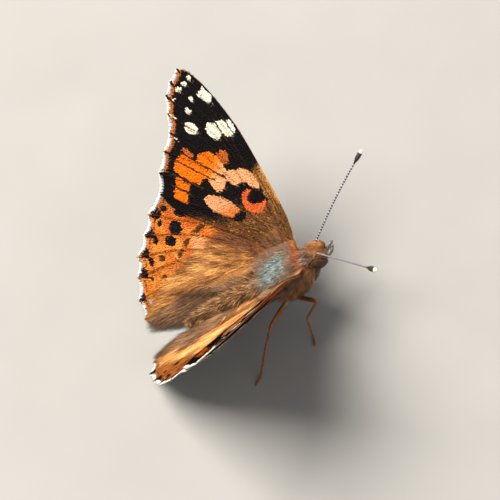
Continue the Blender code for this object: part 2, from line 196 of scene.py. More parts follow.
FORELEG_PATH = [(0.85, -1.5, -2.55), (0.95, -2.7, -1.75), (0.75, -3.95, -1.0)]
FORELEG_RADII = [0.22, 0.28, 0.16]
LIMB_STEPS = 5

# The body's skin: its loft, the abdomen's segments, and the voxels that merge it with the limbs
SKIN_RINGS = 110
SKIN_SIDES = 36
SKIN_VOXEL = 0.1
ABDOMEN_SEGMENTS = 8.0
ABDOMEN_FRONT = 3.8
ABDOMEN_LENGTH = 12.8
SEGMENT_RIDGE = 0.05
NORMAL_STEP = 0.12

# The fur over each wing's root: where it leaves the thorax, how far out it reaches and how much it bows up
SHOULDER_TURN = {"left": 52.0, "right": 42.0}
SHOULDER_REACH = 1.3
SHOULDER_BOW = {"left": 0.75, "right": 0.25}

# How deep the coat lies over the skin
COAT_DEPTH = {"head": 0.20, "thorax": 0.38, "abdomen": 0.30}

# The photograph's camera
CAMERA_PLACE = (-215.57 + BODY_SIDE, -52.3 + BODY_BACK, 356.7 + BODY_HEIGHT)
CAMERA_TURN = (29.64, 14.25, -98.86)
CAMERA_LENS = 225.74
CAMERA_SENSOR = 36.0

RNG = np.random.default_rng(SEED)


def ease(share):
    share = np.clip(share, 0.0, 1.0)
    return share * share * (3.0 - 2.0 * share)


def to_world(points):
    """From millimetres and body axes to the frame's metres, with nothing pressed through the floor."""
    x, y, z = np.moveaxis(np.asarray(points, float), -1, 0)
    cos, sin = math.cos(PITCH), math.sin(PITCH)
    height = np.maximum(z * cos - y * sin + BODY_HEIGHT, 0.0)
    return np.stack((x + BODY_SIDE, y * cos + z * sin + BODY_BACK, height), axis=-1) * MM


def from_floor(x, y, height):
    """Body axes of a point given on the floor, from the point under the thorax."""
    cos, sin = math.cos(PITCH), math.sin(PITCH)
    z = height - BODY_HEIGHT
    return np.array((x, y * cos - z * sin, y * sin + z * cos))


def unit(vectors):
    return vectors / np.maximum(np.linalg.norm(vectors, axis=-1, keepdims=True), 1e-9)


def curve_through(points, steps):
    """Points along a smooth curve that passes through each given point."""
    knots = np.asarray(points, float)
    knots = np.vstack([2.0 * knots[0] - knots[1], knots, 2.0 * knots[-1] - knots[-2]])
    made = []
    for before, start, end, after in zip(knots, knots[1:], knots[2:], knots[3:]):
        for t in np.arange(steps) / steps:
            line = 2.0 * start + (end - before) * t
            curve = (2.0 * before - 5.0 * start + 4.0 * end - after) * t**2
            made.append(0.5 * (line + curve + (3.0 * start - before - 3.0 * end + after) * t**3))
    made.append(knots[-2])
    return np.array(made)


# The wings' shapes

def ray_to(out, back):
    """The ray of a place in degrees, taken at least a little way out, where the rays crowd together."""
    return np.degrees(np.arctan2(back, np.maximum(out, NEAREST_RAY)))


def slope_at(distance, ray, side):
    """The sheet's slope in radians, this far out along a ray."""
    root = np.interp(ray, SHEET_RAYS, ROOT_SLOPE[side])
    outer = np.interp(ray, SHEET_RAYS, OUTER_SLOPE[side])
    return np.radians(root + (outer - root) * ease(distance / BEND_WIDTH[side]))


def on_sheet(out, back, lift, side):
    """Points of the wings' sheet, out from the hinge line and back from the forewing's root."""
    ray = ray_to(out, back)
    across = 0.0
    up = 0.0
    for step in range(SLOPE_STEPS):
        slope = slope_at(out * (step + 0.5) / SLOPE_STEPS, ray, side)
        across = across + np.cos(slope) * out / SLOPE_STEPS
        up = up + np.sin(slope) * out / SLOPE_STEPS
    here = slope_at(out, ray, side)
    x = SIDES[side] * (HINGE_SIDE + across - lift * np.sin(here))
    y = HINGE_BACK + back * math.cos(REAR_RISE[side])
    z = HINGE_UP + up + lift * np.cos(here) + back * math.sin(REAR_RISE[side])
    return np.stack(np.broadcast_arrays(x, y, z), axis=-1)


def crease_out(back):
    """How far out from the hinge line the hindwing creases, at a place behind its root."""
    start, end = CREASE_SPAN
    return CREASE_BOW * np.sin(math.pi * np.clip((back - start) / (end - start), 0.0, 1.0))


def fold_slope(back, side):
    steepest, gentlest = FOLD_SLOPE[side]
    start, end = FOLD_SLOPE_SPAN[side]
    return np.radians(steepest + (gentlest - steepest) * ease((back - start) / (end - start)))


def on_hindwing(plan, through, side):
    """Points of the hindwing: flat plan points, raised through its thickness, and bent at the fold."""
    out, back = plan[..., 0], plan[..., 1]
    crease = crease_out(back)
    behind = HINDWING_BACK + back
    flat = on_sheet(np.maximum(out, crease), behind, HINDWING_LIFT + through, side)
    edge = on_sheet(crease, behind, HINDWING_LIFT, side)
    first_turn = slope_at(crease, ray_to(crease, behind), side)
    depth = np.maximum(crease - out, 0.0) * FOLD_SHARE[side]
    bend = fold_slope(back, side) - first_turn
    radius = np.copysign(FOLD_RADIUS, bend)
    turn = first_turn + np.copysign(np.minimum(np.abs(bend), depth / FOLD_RADIUS), bend)
    straight = depth - (turn - first_turn) * radius
    inward = radius * (np.sin(turn) - np.sin(first_turn)) + straight * np.cos(turn)
    down = radius * (np.cos(first_turn) - np.cos(turn)) + straight * np.sin(turn)
    inward = inward + through * np.sin(turn)
    down = down - through * np.cos(turn)
    folded = edge - np.stack((SIDES[side] * inward, np.zeros_like(down), down), axis=-1)
    return np.where((out >= crease)[..., None], flat, folded)


def on_forewing(plan, through, side):
    cos, sin = math.cos(FOREWING_SWEEP[side]), math.sin(FOREWING_SWEEP[side])
    out = plan[..., 0] * cos - plan[..., 1] * sin
    back = plan[..., 0] * sin + plan[..., 1] * cos
    return on_sheet(out, back, FOREWING_LIFT + through, side)


def vein_end(bearing, length):
    return np.array((length * math.cos(math.radians(bearing)), length * math.sin(math.radians(bearing))))


def wing_outline(front, veins, rear, scallop):
    """The front edge, the scalloped outer margin from vein end to vein end, and the rear edge.

    It also gives, for each point, how far along the outer margin it lies, in cells, or -1 off the margin.
    """
    ends = [vein_end(bearing, length) for bearing, length, _ in veins.values()]
    front_edge = curve_through(front + [tuple(ends[0])], OUTLINE_STEPS)
    outline = list(front_edge)
    cells = [-1.0] * (len(front_edge) - 1) + [0.0]
    for number, (start, end) in enumerate(zip(ends, ends[1:])):
        inward = -unit(start + end)
        for share in np.arange(1, OUTLINE_STEPS + 1) / OUTLINE_STEPS:
            outline.append(start + (end - start) * share + inward * scallop * math.sin(math.pi * share))
            cells.append(number + share)
    rear_edge = curve_through([tuple(ends[-1])] + rear, OUTLINE_STEPS)[1:]
    return np.array(outline + list(rear_edge)), np.array(cells + [-1.0] * len(rear_edge))


def distance_to_path(points, path):
    """The distance from each point to a polyline."""
    nearest = np.full(len(points), 1e9)
    for start, end in zip(path, path[1:]):
        along = end - start
        share = np.clip(((points - start) @ along) / (along @ along), 0.0, 1.0)
        nearest = np.minimum(nearest, np.linalg.norm(points - start - share[:, None] * along, axis=1))
    return nearest


def inside(points, outline):
    """Which points lie inside a closed outline."""
    found = np.zeros(len(points), bool)
    for start, end in zip(outline, np.roll(outline, -1, axis=0)):
        crosses = (start[1] > points[:, 1]) != (end[1] > points[:, 1])
        rise = end[1] - start[1]
        at = start[0] + (points[:, 1] - start[1]) * (end[0] - start[0]) / (rise if rise else 1e-9)
        found ^= crosses & (points[:, 0] < at)
    return found


class Wing:
    """One kind of wing, drawn flat: its outline, veins, relief, bake map and how it bends on a side."""

    def __init__(self, name, front, veins, rear, scallop, bend):
        self.name = name
        self.bend = bend
        self.outline, self.cells = wing_outline(front, veins, rear, scallop)
        self.margin = self.outline[self.cells >= 0.0]
        self.low, self.high = self.outline.min(axis=0), self.outline.max(axis=0)
        self.veins = []
        for bearing, length, leaving in veins.values():
            start, end = np.array(leaving), vein_end(bearing, length)
            bow = np.array((end - start)[::-1] * (1.0, -1.0)) * VEIN_BOW
            middle = (start + end) / 2.0 + bow
            self.veins.append(curve_through([start, middle, end], VEIN_STEPS))
            if np.linalg.norm(start - WING_ROOT) > STEM_FROM:
                self.veins.append(np.array([WING_ROOT, start]))

    def to_vein(self, plan):
        return np.min([distance_to_path(plan, vein) for vein in self.veins], axis=0)

    def to_margin(self, plan):
        return distance_to_path(plan, self.margin)

    def relief(self, plan):
        """How far veins and the pleats between them raise the wing."""
        away = self.to_vein(plan)
        vein = VEIN_HEIGHT * np.exp(-((away / VEIN_WIDTH) ** 2))
        return vein - PLEAT_DEPTH * (1.0 - np.exp(-((away / PLEAT_WIDTH) ** 2)))

    def unwrap(self, plan, size=0.96, corner=0.02):
        """Flat places laid out on the bake map."""
        return (plan - self.low) / (self.high - self.low).max() * size + corner


FOREWING = Wing("forewing", FOREWING_FRONT, FOREWING_VEINS, FOREWING_REAR, FOREWING_SCALLOP, on_forewing)
HINDWING = Wing("hindwing", HINDWING_FRONT, HINDWING_VEINS, HINDWING_REAR, HINDWING_SCALLOP, on_hindwing)


def reach_and_bearing(plan):
    """How far from the wing's origin flat places lie, and their direction in degrees from straight out."""
    return np.hypot(plan[:, 0], plan[:, 1]), np.degrees(np.arctan2(plan[:, 1], plan[:, 0]))


# Colours

def rgb(red, green, blue):
    return np.array((red, green, blue), float) / 255.0


BLACK = rgb(15, 11, 12)
SOOT = rgb(34, 25, 22)
CREAM = rgb(253, 240, 214)
FRINGE_WHITE = rgb(252, 251, 246)
FLAME = rgb(238, 114, 6)
ORANGE = rgb(240, 148, 62)
DEEP_ORANGE = rgb(214, 104, 34)
PINK_ORANGE = rgb(242, 168, 116)
RED_ORANGE = rgb(222, 96, 52)
LUNULE = rgb(168, 98, 46)
BROWN = rgb(98, 58, 32)
GOLD_BROWN = rgb(182, 108, 46)
GOLD = rgb(251, 194, 114)
OLIVE_GOLD = rgb(126, 86, 42)
BLUE_WHITE = rgb(206, 212, 230)
BLUE_BLACK = rgb(36, 36, 60)
UMBER = rgb(66, 42, 26)


def blend(first, second, share):
    share = np.clip(share, 0.0, 1.0)
    share = share[..., None] if np.ndim(share) else share
    return first + (second - first) * share


def in_ellipse(plan, centre, half_length, half_width, turn=0.0):
    """About how many millimetres inside an ellipse, negative outside it."""
    cos, sin = math.cos(math.radians(turn)), math.sin(math.radians(turn))
    x, y = plan[:, 0] - centre[0], plan[:, 1] - centre[1]
    along, across = x * cos + y * sin, y * cos - x * sin
    share = np.sqrt((along / half_length) ** 2 + (across / half_width) ** 2)
    return (1.0 - share) * min(half_length, half_width)


def in_polygon(plan, corners):
    """How many millimetres inside a polygon, negative outside it."""
    corners = np.array(corners, float)
    depth = distance_to_path(plan, np.vstack([corners, corners[:1]]))
    return np.where(inside(plan, corners), depth, -depth)


def deepest(plan, marks):
    """How many millimetres inside the nearest of some marks, negative outside them all.

    A mark is a list of corners, or an ellipse: its centre, half length, half width and turn.
    """
    inner = [in_polygon(plan, mark) if isinstance(mark, list) else in_ellipse(plan, *mark) for mark in marks]
    return np.max(inner, axis=0)


def on_lines(plan, lines):
    """Which places lie on some lines, each given as half its width and its points."""
    return np.any([distance_to_path(plan, np.array(line)) < width for width, line in lines], axis=0)


def paint(colour, where, coat):
    """Puts a colour on the places where a condition holds."""
    return np.where(where[:, None], coat, colour)


def paint_marks(colour, plan, edge, marks, coat):
    """Puts a colour inside some marks, whose outlines an edge value moves out or in."""
    return paint(colour, deepest(plan, marks) + edge > 0.0, coat)


def wobble(plan, size, seed=0.0):
    """A smooth irregular value between about -1 and 1, over features of a given size."""
    x, y = plan[:, 0] / size + seed, plan[:, 1] / size - seed
    waves = np.sin(1.7 * x + 1.3 * np.sin(2.3 * y)) + np.sin(2.9 * y + 1.1 * np.sin(1.9 * x + 1.0))
    return 0.5 * waves


# Marks of the forewing's upper side
WHITE_SPOTS = [
    ((24.2, 0.85), 0.36, 0.35, 0.0),
    ((23.0, 2.25), 0.50, 0.34, 10.0),
    ((20.75, 3.45), 0.98, 0.80, 20.0),
    ((26.75, -0.62), 0.38, 0.32, 30.0),
    ((26.4, 0.45), 0.36, 0.40, 0.0),
    ((26.1, 1.65), 0.38, 0.46, 0.0),
    ((25.2, 3.1), 0.15, 0.22, 0.0),
    ((23.2, 4.55), 0.45, 0.15, 30.0),
    ((20.6, 6.2), 0.50, 0.15, 30.0),
]
WHITE_BARS = [
    [(19.8, 1.6), (20.3, 0.9), (19.8, 0.1), (18.0, -0.15), (17.5, 1.2), (18.7, 1.8)],
    [(19.9, -0.2), (19.7, -1.2), (17.2, -1.3), (17.3, -0.3), (18.2, 0.0)],
    [(19.4, -1.45), (19.2, -2.0), (17.6, -2.0), (17.2, -1.4)],
    [(24.4, -0.1), (24.5, -0.9), (24.9, -1.5), (23.2, -1.9), (22.5, -1.3), (22.6, -0.7)],
]
ORANGE_CELLS = [
    [(17.0, 3.6), (16.6, 2.9), (15.2, 2.5), (13.6, 2.7), (12.9, 3.2), (13.9, 4.0), (15.2, 4.7), (16.6, 5.5),
     (17.2, 4.8)],
    [(18.3, 7.3), (18.1, 6.6), (16.3, 5.5), (14.4, 4.4), (13.1, 3.5), (12.2, 3.4), (11.3, 4.8), (11.5, 5.6),
     (12.6, 5.8), (13.7, 5.5), (14.0, 6.2), (13.5, 7.1), (14.8, 8.2), (16.8, 9.2), (17.8, 8.4)],
    [(16.2, 9.4), (14.2, 8.2), (13.4, 9.0), (14.7, 10.3)],
    [(14.8, 10.4), (13.2, 9.2), (12.0, 10.3), (13.8, 11.4)],
]
CELL_PATCH = [
    [(13.4, 2.8), (13.1, 1.6), (12.6, 0.4), (11.8, -0.25), (10.1, -0.55), (9.2, 0.1), (9.8, 0.9),
     (10.7, 1.2), (11.1, 1.8), (11.0, 2.8), (11.6, 3.1), (12.8, 3.3)],
]
ORANGE_BREAKS = [
    (0.10, [(12.7, 3.3), (15.0, 4.75), (18.6, 6.8)]),
    (0.10, [(13.0, 4.9), (15.2, 6.35), (18.1, 8.1)]),
    (0.12, [(12.8, 7.0), (14.6, 8.2), (16.6, 9.7)]),
    (0.12, [(12.8, 9.0), (15.2, 10.6)]),
]
WHITE_BREAKS = [
    (0.07, [(16.9, 0.0), (20.4, -0.15)]),
    (0.07, [(17.0, -1.35), (20.0, -1.35)]),
    (0.07, [(19.4, 2.75), (22.0, 4.1)]),
]
RED_RING = [((8.0, 1.8), 1.8, 1.6, 10.0)]
CELL_BLACKS = [((8.4, 0.95), 1.02, 1.5), ((10.7, 2.5), 0.8, 1.3)]
BROWNED_ORANGE = [((18.0, 6.0), 0.8, 0.42, 12.0), ((15.3, 1.9), 1.0, 0.75, -10.0)]
REAR_PATCH = [((9.45, 6.1), 2.6, 1.25, 37.0)]
REAR_NOTCH = [((7.05, 4.8), 0.65, 0.9)]

# The dark lines of the forewing's front strip: how far behind the edge each lies, and how far out it ends
STRIP_LINES = [(0.98, 12.5), (0.62, 8.0)]
STRIP_TONES = rgb(116, 66, 28), rgb(170, 116, 56)


def front_strip(plan, colour, edge):
    """The golden-brown strip along the inner half of the forewing's front edge, with its dark vein lines."""
    out = plan[:, 0]
    inward = plan[:, 1] - np.interp(out, *np.transpose(FOREWING_FRONT))
    shade = blend(*STRIP_TONES, ease(out / 9.0) * 0.8 + 0.25 * wobble(plan, 0.8, 6.0))
    shade = blend(shade, GOLD, ease((0.36 - inward) / 0.2) * ease((out - 2.0) / 5.0) * 0.4)
    for middle, end in STRIP_LINES:
        line = ease(1.4 - np.abs(inward - middle) / 0.08) * ease((end - out) / 1.5)
        shade = blend(shade, UMBER, line * 0.75)
    strip = ease((1.45 - inward + 2.0 * edge) / 0.16) * ease((12.9 - out - 0.5 * inward + 2.0 * edge) / 1.2)
    return blend(colour, shade, strip)


def forewing_base(plan, to_vein):
    """The dusted brown of the forewing's base, darker beside its veins and paler on them."""
    count = len(plan)
    colour = blend(BROWN, OLIVE_GOLD, 0.35 + 0.45 * wobble(plan, 1.1, 3.0) + RNG.normal(0.0, 0.15, count))
    colour = paint(colour, RNG.random(count) < 0.07, GOLD_BROWN)
    colour = blend(colour, UMBER, ease(1.0 - np.abs(to_vein - 0.28) / 0.2) * 0.45)
    return blend(colour, GOLD_BROWN, ease(1.0 - to_vein / 0.14) * 0.5)


def forewing_above(plan):
    """Colours of the forewing's upper side at flat places."""
    count = len(plan)
    edge = wobble(plan, 0.35) * 0.05 + RNG.normal(0.0, 0.025, count)
    reach, bearing = reach_and_bearing(plan)
    to_margin = FOREWING.to_margin(plan)
    to_vein = FOREWING.to_vein(plan)
    base = ease((10.6 - reach + 0.09 * (bearing - 20.0) + 12.0 * edge) / 4.0)
    rear = ease((bearing - 42.0) / 7.0 + 4.0 * edge) * ease((17.0 - reach) / 4.5)
    colour = blend(BLACK, forewing_base(plan, to_vein), np.maximum(base, rear))

    red = blend(RED_ORANGE, DEEP_ORANGE, RNG.random(count) * 0.6)
    band = blend(PINK_ORANGE, FLAME, ease((plan[:, 0] + 0.5 * plan[:, 1] - 15.0) / 2.6) + edge)
    patch = blend(DEEP_ORANGE, PINK_ORANGE * 0.95, (plan[:, 0] - 7.2) / 2.4)
    colour = paint_marks(colour, plan, edge, RED_RING, red)
    colour = paint_marks(colour, plan, edge, CELL_BLACKS, BLACK)
    colour = paint_marks(colour, plan, edge, ORANGE_CELLS, band)
    colour = paint_marks(colour, plan, 2.5 * edge, BROWNED_ORANGE, blend(DEEP_ORANGE, BROWN, 0.25))
    colour = paint_marks(colour, plan, edge, CELL_PATCH, PINK_ORANGE)
    colour = paint_marks(colour, plan, edge, REAR_PATCH, patch)
    colour = paint_marks(colour, plan, edge, REAR_NOTCH, BLACK)
    colour = paint(colour, on_lines(plan, ORANGE_BREAKS + WHITE_BREAKS), UMBER)
    colour = front_strip(plan, colour, edge)
    white = deepest(plan, WHITE_SPOTS + WHITE_BARS) + edge > 0.0
    colour = paint(colour, white & ~on_lines(plan, WHITE_BREAKS), CREAM)

    lunule = (to_margin > 0.22) & (to_margin + edge < 0.85) & (to_vein > 0.12) & (bearing < 31.0)
    colour = paint(colour, lunule, blend(LUNULE, DEEP_ORANGE, 0.3 * RNG.random(count)))
    colour = paint(colour, (to_margin < 0.16) & (to_vein > 0.22), FRINGE_WHITE)
    return blend(colour, UMBER, ease(1.0 - to_vein / 0.12) * ease((reach - 9.0) / 4.0) * 0.35)


# Marks of the hindwing's upper side
HINDWING_SPOTS = [
    ((9.9, 11.4), 0.92, 1.12, 45.0),
    ((8.65, 13.1), 0.80, 0.82, 0.0),
    ((13.1, 11.3), 0.55, 0.55, 0.0),
    ((11.4, 13.1), 0.30, 0.62, 40.0),
    ((9.7, 15.0), 0.40, 0.70, 50.0),
    ((7.5, 17.4), 0.36, 0.76, 62.0),
    ((12.9, 12.6), 0.75, 0.95, 45.0),
    ((10.95, 15.1), 0.66, 0.80, 52.0),
    ((9.0, 17.5), 0.66, 0.92, 60.0),
    ((6.6, 19.4), 0.62, 0.86, 70.0),
    ((11.3, 9.7), 0.9, 0.35, 40.0),
    ((14.6, 9.4), 0.6, 0.6, 0.0),
    ((15.5, 6.3), 0.6, 0.6, 0.0),
]
BROWN_SPOTS = [
    ((7.2, 15.7), 0.52, 0.56, 0.0),
    ((4.8, 16.9), 0.40, 0.50, 0.0),
    ((5.4, 18.8), 0.30, 0.42, 70.0),
]
BLUE_SPOT = [((3.85, 21.4), 0.50, 0.70, 80.0)]
PALE_SPOTS = [((2.85, 20.5), 0.38, 0.22, 0.0), ((1.3, 21.2), 0.36, 0.55, 0.0)]
DARK_BARS = [
    ((8.2, 8.6), 0.45, 1.35, 8.0),
    ((7.45, 11.2), 0.42, 0.95, 25.0),
    ((6.45, 12.9), 0.40, 1.10, 30.0),
]
PINK_CLOUD = [((6.5, 9.7), 1.4, 1.7, 30.0)]

# How far the hindwing's hair reaches in each direction from its root, and how much painted highlight
# brightens it on each side, most on the right wing, which faces the light
HAIR_BEARINGS = (0.0, 20.0, 45.0, 60.0, 72.0, 84.0, 100.0)
HAIR_REACH = (6.0, 7.5, 8.8, 11.0, 15.2, 20.0, 23.0)
PAINTED_HAIR_HIGHLIGHT = {"left": 0.08, "right": 0.30}

# Tones of that hair, each from dark to bright
RUST_HAIR = rgb(50, 27, 15), rgb(180, 102, 50)
GREY_HAIR = rgb(70, 50, 38), rgb(196, 152, 110)
ROOT_HAIR = rgb(90, 66, 54), rgb(180, 142, 116)


def hair_tone(plan, share):
    """Colours of the hindwing's basal hair, from dark to bright by each hair's own share."""
    _, bearing = reach_and_bearing(plan)
    gold = blend(blend(UMBER, GOLD_BROWN, share * 1.8), GOLD, share * 2.0 - 0.8)
    inner = ease((crease_out(plan[:, 1]) + 0.4 - plan[:, 0]) / 0.9)
    colour = blend(gold, blend(*RUST_HAIR, share * 1.1), ease((62.0 - bearing) / 24.0) * 0.95)
    return blend(colour, blend(*GREY_HAIR, share), inner * 0.85)


def hindwing_above(plan):
    """Colours of the hindwing's upper side at flat places."""
    count = len(plan)
    edge = wobble(plan, 0.4, 2.0) * 0.05 + RNG.normal(0.0, 0.03, count)
    reach, bearing = reach_and_bearing(plan)
    to_margin = HINDWING.to_margin(plan)
    to_vein = HINDWING.to_vein(plan)
    colour = blend(ORANGE, DEEP_ORANGE, 0.4 + 0.5 * wobble(plan, 1.3, 4.0) + (55.0 - bearing) / 50.0)
    hairy = ease((np.interp(bearing, HAIR_BEARINGS, HAIR_REACH) - reach) / 3.0 + 0.4 + 4.0 * edge)
    colour = blend(colour, hair_tone(plan, 0.45 + 0.35 * wobble(plan, 0.5, 1.0)), hairy)
    colour = blend(colour, blend(BROWN, UMBER, RNG.random(count)), ease((27.0 - bearing) / 10.0) * 0.8)
    colour = blend(colour, BROWN, ease((reach - 11.0) / 3.0) * ease((46.0 - bearing) / 10.0) * 0.35)
    colour = blend(colour, PINK_ORANGE, ease(deepest(plan, PINK_CLOUD) * 1.5 + edge) * 0.85)
    colour = blend(colour, UMBER, ease((deepest(plan, DARK_BARS) + 2.0 * edge) * 7.0) * 0.85)
    colour = blend(colour, SOOT, ease((deepest(plan, BROWN_SPOTS) + edge) * 9.0) * 0.75)
    dark = blend(BLACK, BLUE_BLACK, RNG.random(count) * 0.4)
    colour = paint_marks(colour, plan, edge, HINDWING_SPOTS, dark)
    colour = paint_marks(colour, plan, edge, BLUE_SPOT, BLUE_BLACK)
    colour = paint_marks(colour, plan, edge, PALE_SPOTS, BLUE_WHITE)

    line = (np.abs(to_margin - 0.95 + edge) < 0.10) & (to_vein > 0.35)
    colour = paint(colour, line, blend(DEEP_ORANGE, UMBER, 0.5))
    colour = paint(colour, (np.abs(to_margin - 0.32) < 0.10) & (to_vein > 0.2), UMBER)
    colour = blend(colour, blend(DEEP_ORANGE, UMBER, 0.6), ease(1.0 - to_vein / 0.14) * 0.6)
    return paint(colour, (to_margin < 0.2) & (to_vein > 0.22), FRINGE_WHITE)


# Marks of the undersides
ROSE = rgb(226, 128, 92)
SAND = rgb(206, 184, 150)
OLIVE_BROWN = rgb(130, 104, 72)
CLAY = rgb(158, 136, 114)
PALE_NET = rgb(238, 228, 208)
PALE_MARBLE = rgb(226, 212, 188)
DARK_MARBLE = rgb(92, 70, 50)
BLUE_LINE = rgb(92, 104, 128)
UNDER_MARKS = [
    ((15.6, 0.4), 1.6, 1.6, 0.0),
    ((19.6, 2.6), 1.0, 2.2, 20.0),
    ((8.6, 1.6), 0.7, 0.9, 0.0),
    ((12.2, 6.9), 1.6, 0.9, 30.0),
    ((16.6, 10.2), 0.9, 2.4, 35.0),
]
EYE_SPOTS = [
    ((12.4, 9.0), 0.75),
    ((9.9, 11.4), 0.95),
    ((8.65, 13.1), 0.70),
    ((7.2, 15.7), 0.85),
    ((4.8, 16.9), 1.0),
]

# Rings of an eye spot: how deep inside it each begins, in shares of its radius
EYE_SPOT_RINGS = [(0.0, rgb(216, 180, 104)), (0.3, rgb(36, 30, 30)), (0.62, rgb(96, 118, 150))]


def forewing_below(plan):
    """Colours of the forewing's underside: a rosy field with black marks, and a pale marbled tip."""
    edge = wobble(plan, 0.5, 5.0) * 0.08 + RNG.normal(0.0, 0.03, len(plan))
    colour = blend(ROSE, ORANGE, 0.4 + 0.4 * wobble(plan, 2.0, 3.0))
    tip = ease((plan[:, 0] - 19.0 + 0.15 * plan[:, 1]) / 1.5 + edge)
    colour = blend(colour, blend(SAND, OLIVE_BROWN, 0.5 + 0.5 * wobble(plan, 0.8, 7.0)), tip)
    colour = paint_marks(colour, plan, edge, UNDER_MARKS, SOOT)
    colour = paint_marks(colour, plan, edge, WHITE_SPOTS[:6] + WHITE_BARS, CREAM)
    # A golden strip along the inner front edge: the edge's own sandy colour, brightened by a painted
    # highlight where light catches the edge
    rim = ease((-plan[:, 1] - 0.07 * plan[:, 0]) / 0.3) * ease((15.0 - plan[:, 0]) / 3.0)
    colour = blend(colour, blend(GOLD_BROWN, GOLD, 0.5), rim)
    return blend(colour, CLAY, ease((plan[:, 1] - 0.9 * plan[:, 0] - 1.0) / 1.5) * 0.7)


def hindwing_below(plan):
    """Colours of the hindwing's underside: olive-brown marbling, a pale net of veins and eye spots."""
    reach, _ = reach_and_bearing(plan)
    to_margin = HINDWING.to_margin(plan)
    to_vein = HINDWING.to_vein(plan)
    marble = wobble(plan, 1.3, 6.0) + 0.6 * wobble(plan, 0.7, 8.0) + RNG.normal(0.0, 0.12, len(plan))
    colour = blend(OLIVE_BROWN, PALE_MARBLE, ease(marble * 1.5 + 0.4))
    colour = blend(colour, DARK_MARBLE, ease(-marble * 1.6 - 0.5))
    colour = blend(colour, SAND, ease(1.0 - np.abs(to_margin - 2.6) / 1.2) * 0.7)
    colour = paint(colour, to_vein < 0.15, PALE_NET)
    colour = blend(colour, blend(BROWN, GOLD_BROWN, 0.4), ease((9.0 - reach) / 4.0) * 0.8)
    for centre, radius in EYE_SPOTS:
        depth = in_ellipse(plan, centre, radius, radius) / radius
        for inner, shade in EYE_SPOT_RINGS:
            colour = paint(colour, depth > inner, shade)
    return paint(colour, np.abs(to_margin - 1.1) < 0.13, BLUE_LINE)


WING_TONES = {
    "forewing": {"above": forewing_above, "below": forewing_below},
    "hindwing": {"above": hindwing_above, "below": hindwing_below},
}


# Making meshes

def linear(colour):
    """Display colours as the renderer's linear ones."""
    colour = np.clip(colour, 0.0, 1.0)
    return np.where(colour <= 0.04045, colour / 12.92, ((colour + 0.055) / 1.055) ** 2.4)


def add_object(name, data):
    made = bpy.data.objects.new(name, data)
    bpy.context.scene.collection.objects.link(made)
    return made


def add_mesh(name, points, triangles, colours, places, material, smooth=True):
    """An object from body-axes points, triangles, a colour for each point and its place on the bake map."""
    mesh = bpy.data.meshes.new(name)
    mesh.vertices.add(len(points))
    mesh.vertices.foreach_set("co", to_world(points).astype(np.float32).ravel())
    mesh.loops.add(triangles.size)
    mesh.loops.foreach_set("vertex_index", triangles.astype(np.int32).ravel())
    mesh.polygons.add(len(triangles))
    mesh.polygons.foreach_set("loop_start", np.arange(0, triangles.size, 3, dtype=np.int32))
    mesh.update(calc_edges=True)
    tint = mesh.color_attributes.new("tint", "FLOAT_COLOR", "POINT")
    shade = np.ones((len(points), 4), np.float32)
    shade[:, :3] = linear(colours)
    tint.data.foreach_set("color", shade.ravel())
    bake = mesh.uv_layers.new(name="OFBake")
    bake.data.foreach_set("uv", places[triangles.ravel()].astype(np.float32).ravel())
    mesh.validate()
    if smooth:
        mesh.shade_smooth()
    mesh.materials.append(material)
    piece = add_object(name, mesh)
    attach(piece, "root")
    return piece


def repeat_faces(pattern, count, stride):
    """The same small set of triangles for each of many like shapes."""
    return (np.asarray(pattern)[None] + np.arange(count)[:, None, None] * stride).reshape(-1, 3)


# A scale: five corners on top and one point under it, which closes it. Shares of its length and width
SCALE_CORNERS = np.array([(0.0, 0.0), (0.42, -0.5), (0.95, -0.34), (1.0, 0.30), (0.42, 0.5)])
SCALE_LIFTS = np.array((0.0, 0.55, 1.0, 1.0, 0.55))
SCALE_FACES = [(0, 1, 2), (0, 2, 3), (0, 3, 4), (1, 0, 5), (2, 1, 5), (3, 2, 5), (4, 3, 5), (0, 4, 5)]

# How large a hair or scale is on the bake map
PATCH = 0.003


def aside_of(heading):
    """Flat directions a quarter turn from the given ones."""
    return np.stack((-heading[:, 1], heading[:, 0]), axis=-1)


def scale_sites(wing, face):
    """Flat places of scales in staggered, slightly uneven rows, off the rim and the longest hair."""
    out, back = SCALE_SPACING[face]
    columns, rows = np.meshgrid(
        np.arange(wing.low[0], wing.high[0], out), np.arange(wing.low[1], wing.high[1], back), indexing="ij"
    )
    columns = columns + (np.arange(rows.shape[1]) % 2) * out / 2.0
    plan = np.stack((columns.ravel(), rows.ravel()), axis=-1)
    plan += RNG.uniform(-0.35, 0.35, plan.shape) * (out, back)
    plan = plan[inside(plan, wing.outline)]
    plan = plan[distance_to_path(plan, wing.outline) > RIM_INSET]
    if wing is FOREWING or face == "below":
        return plan
    reach, bearing = reach_and_bearing(plan)
    return plan[reach > np.interp(bearing, HAIR_BEARINGS, HAIR_REACH) - SCALES_UNDER_HAIR]


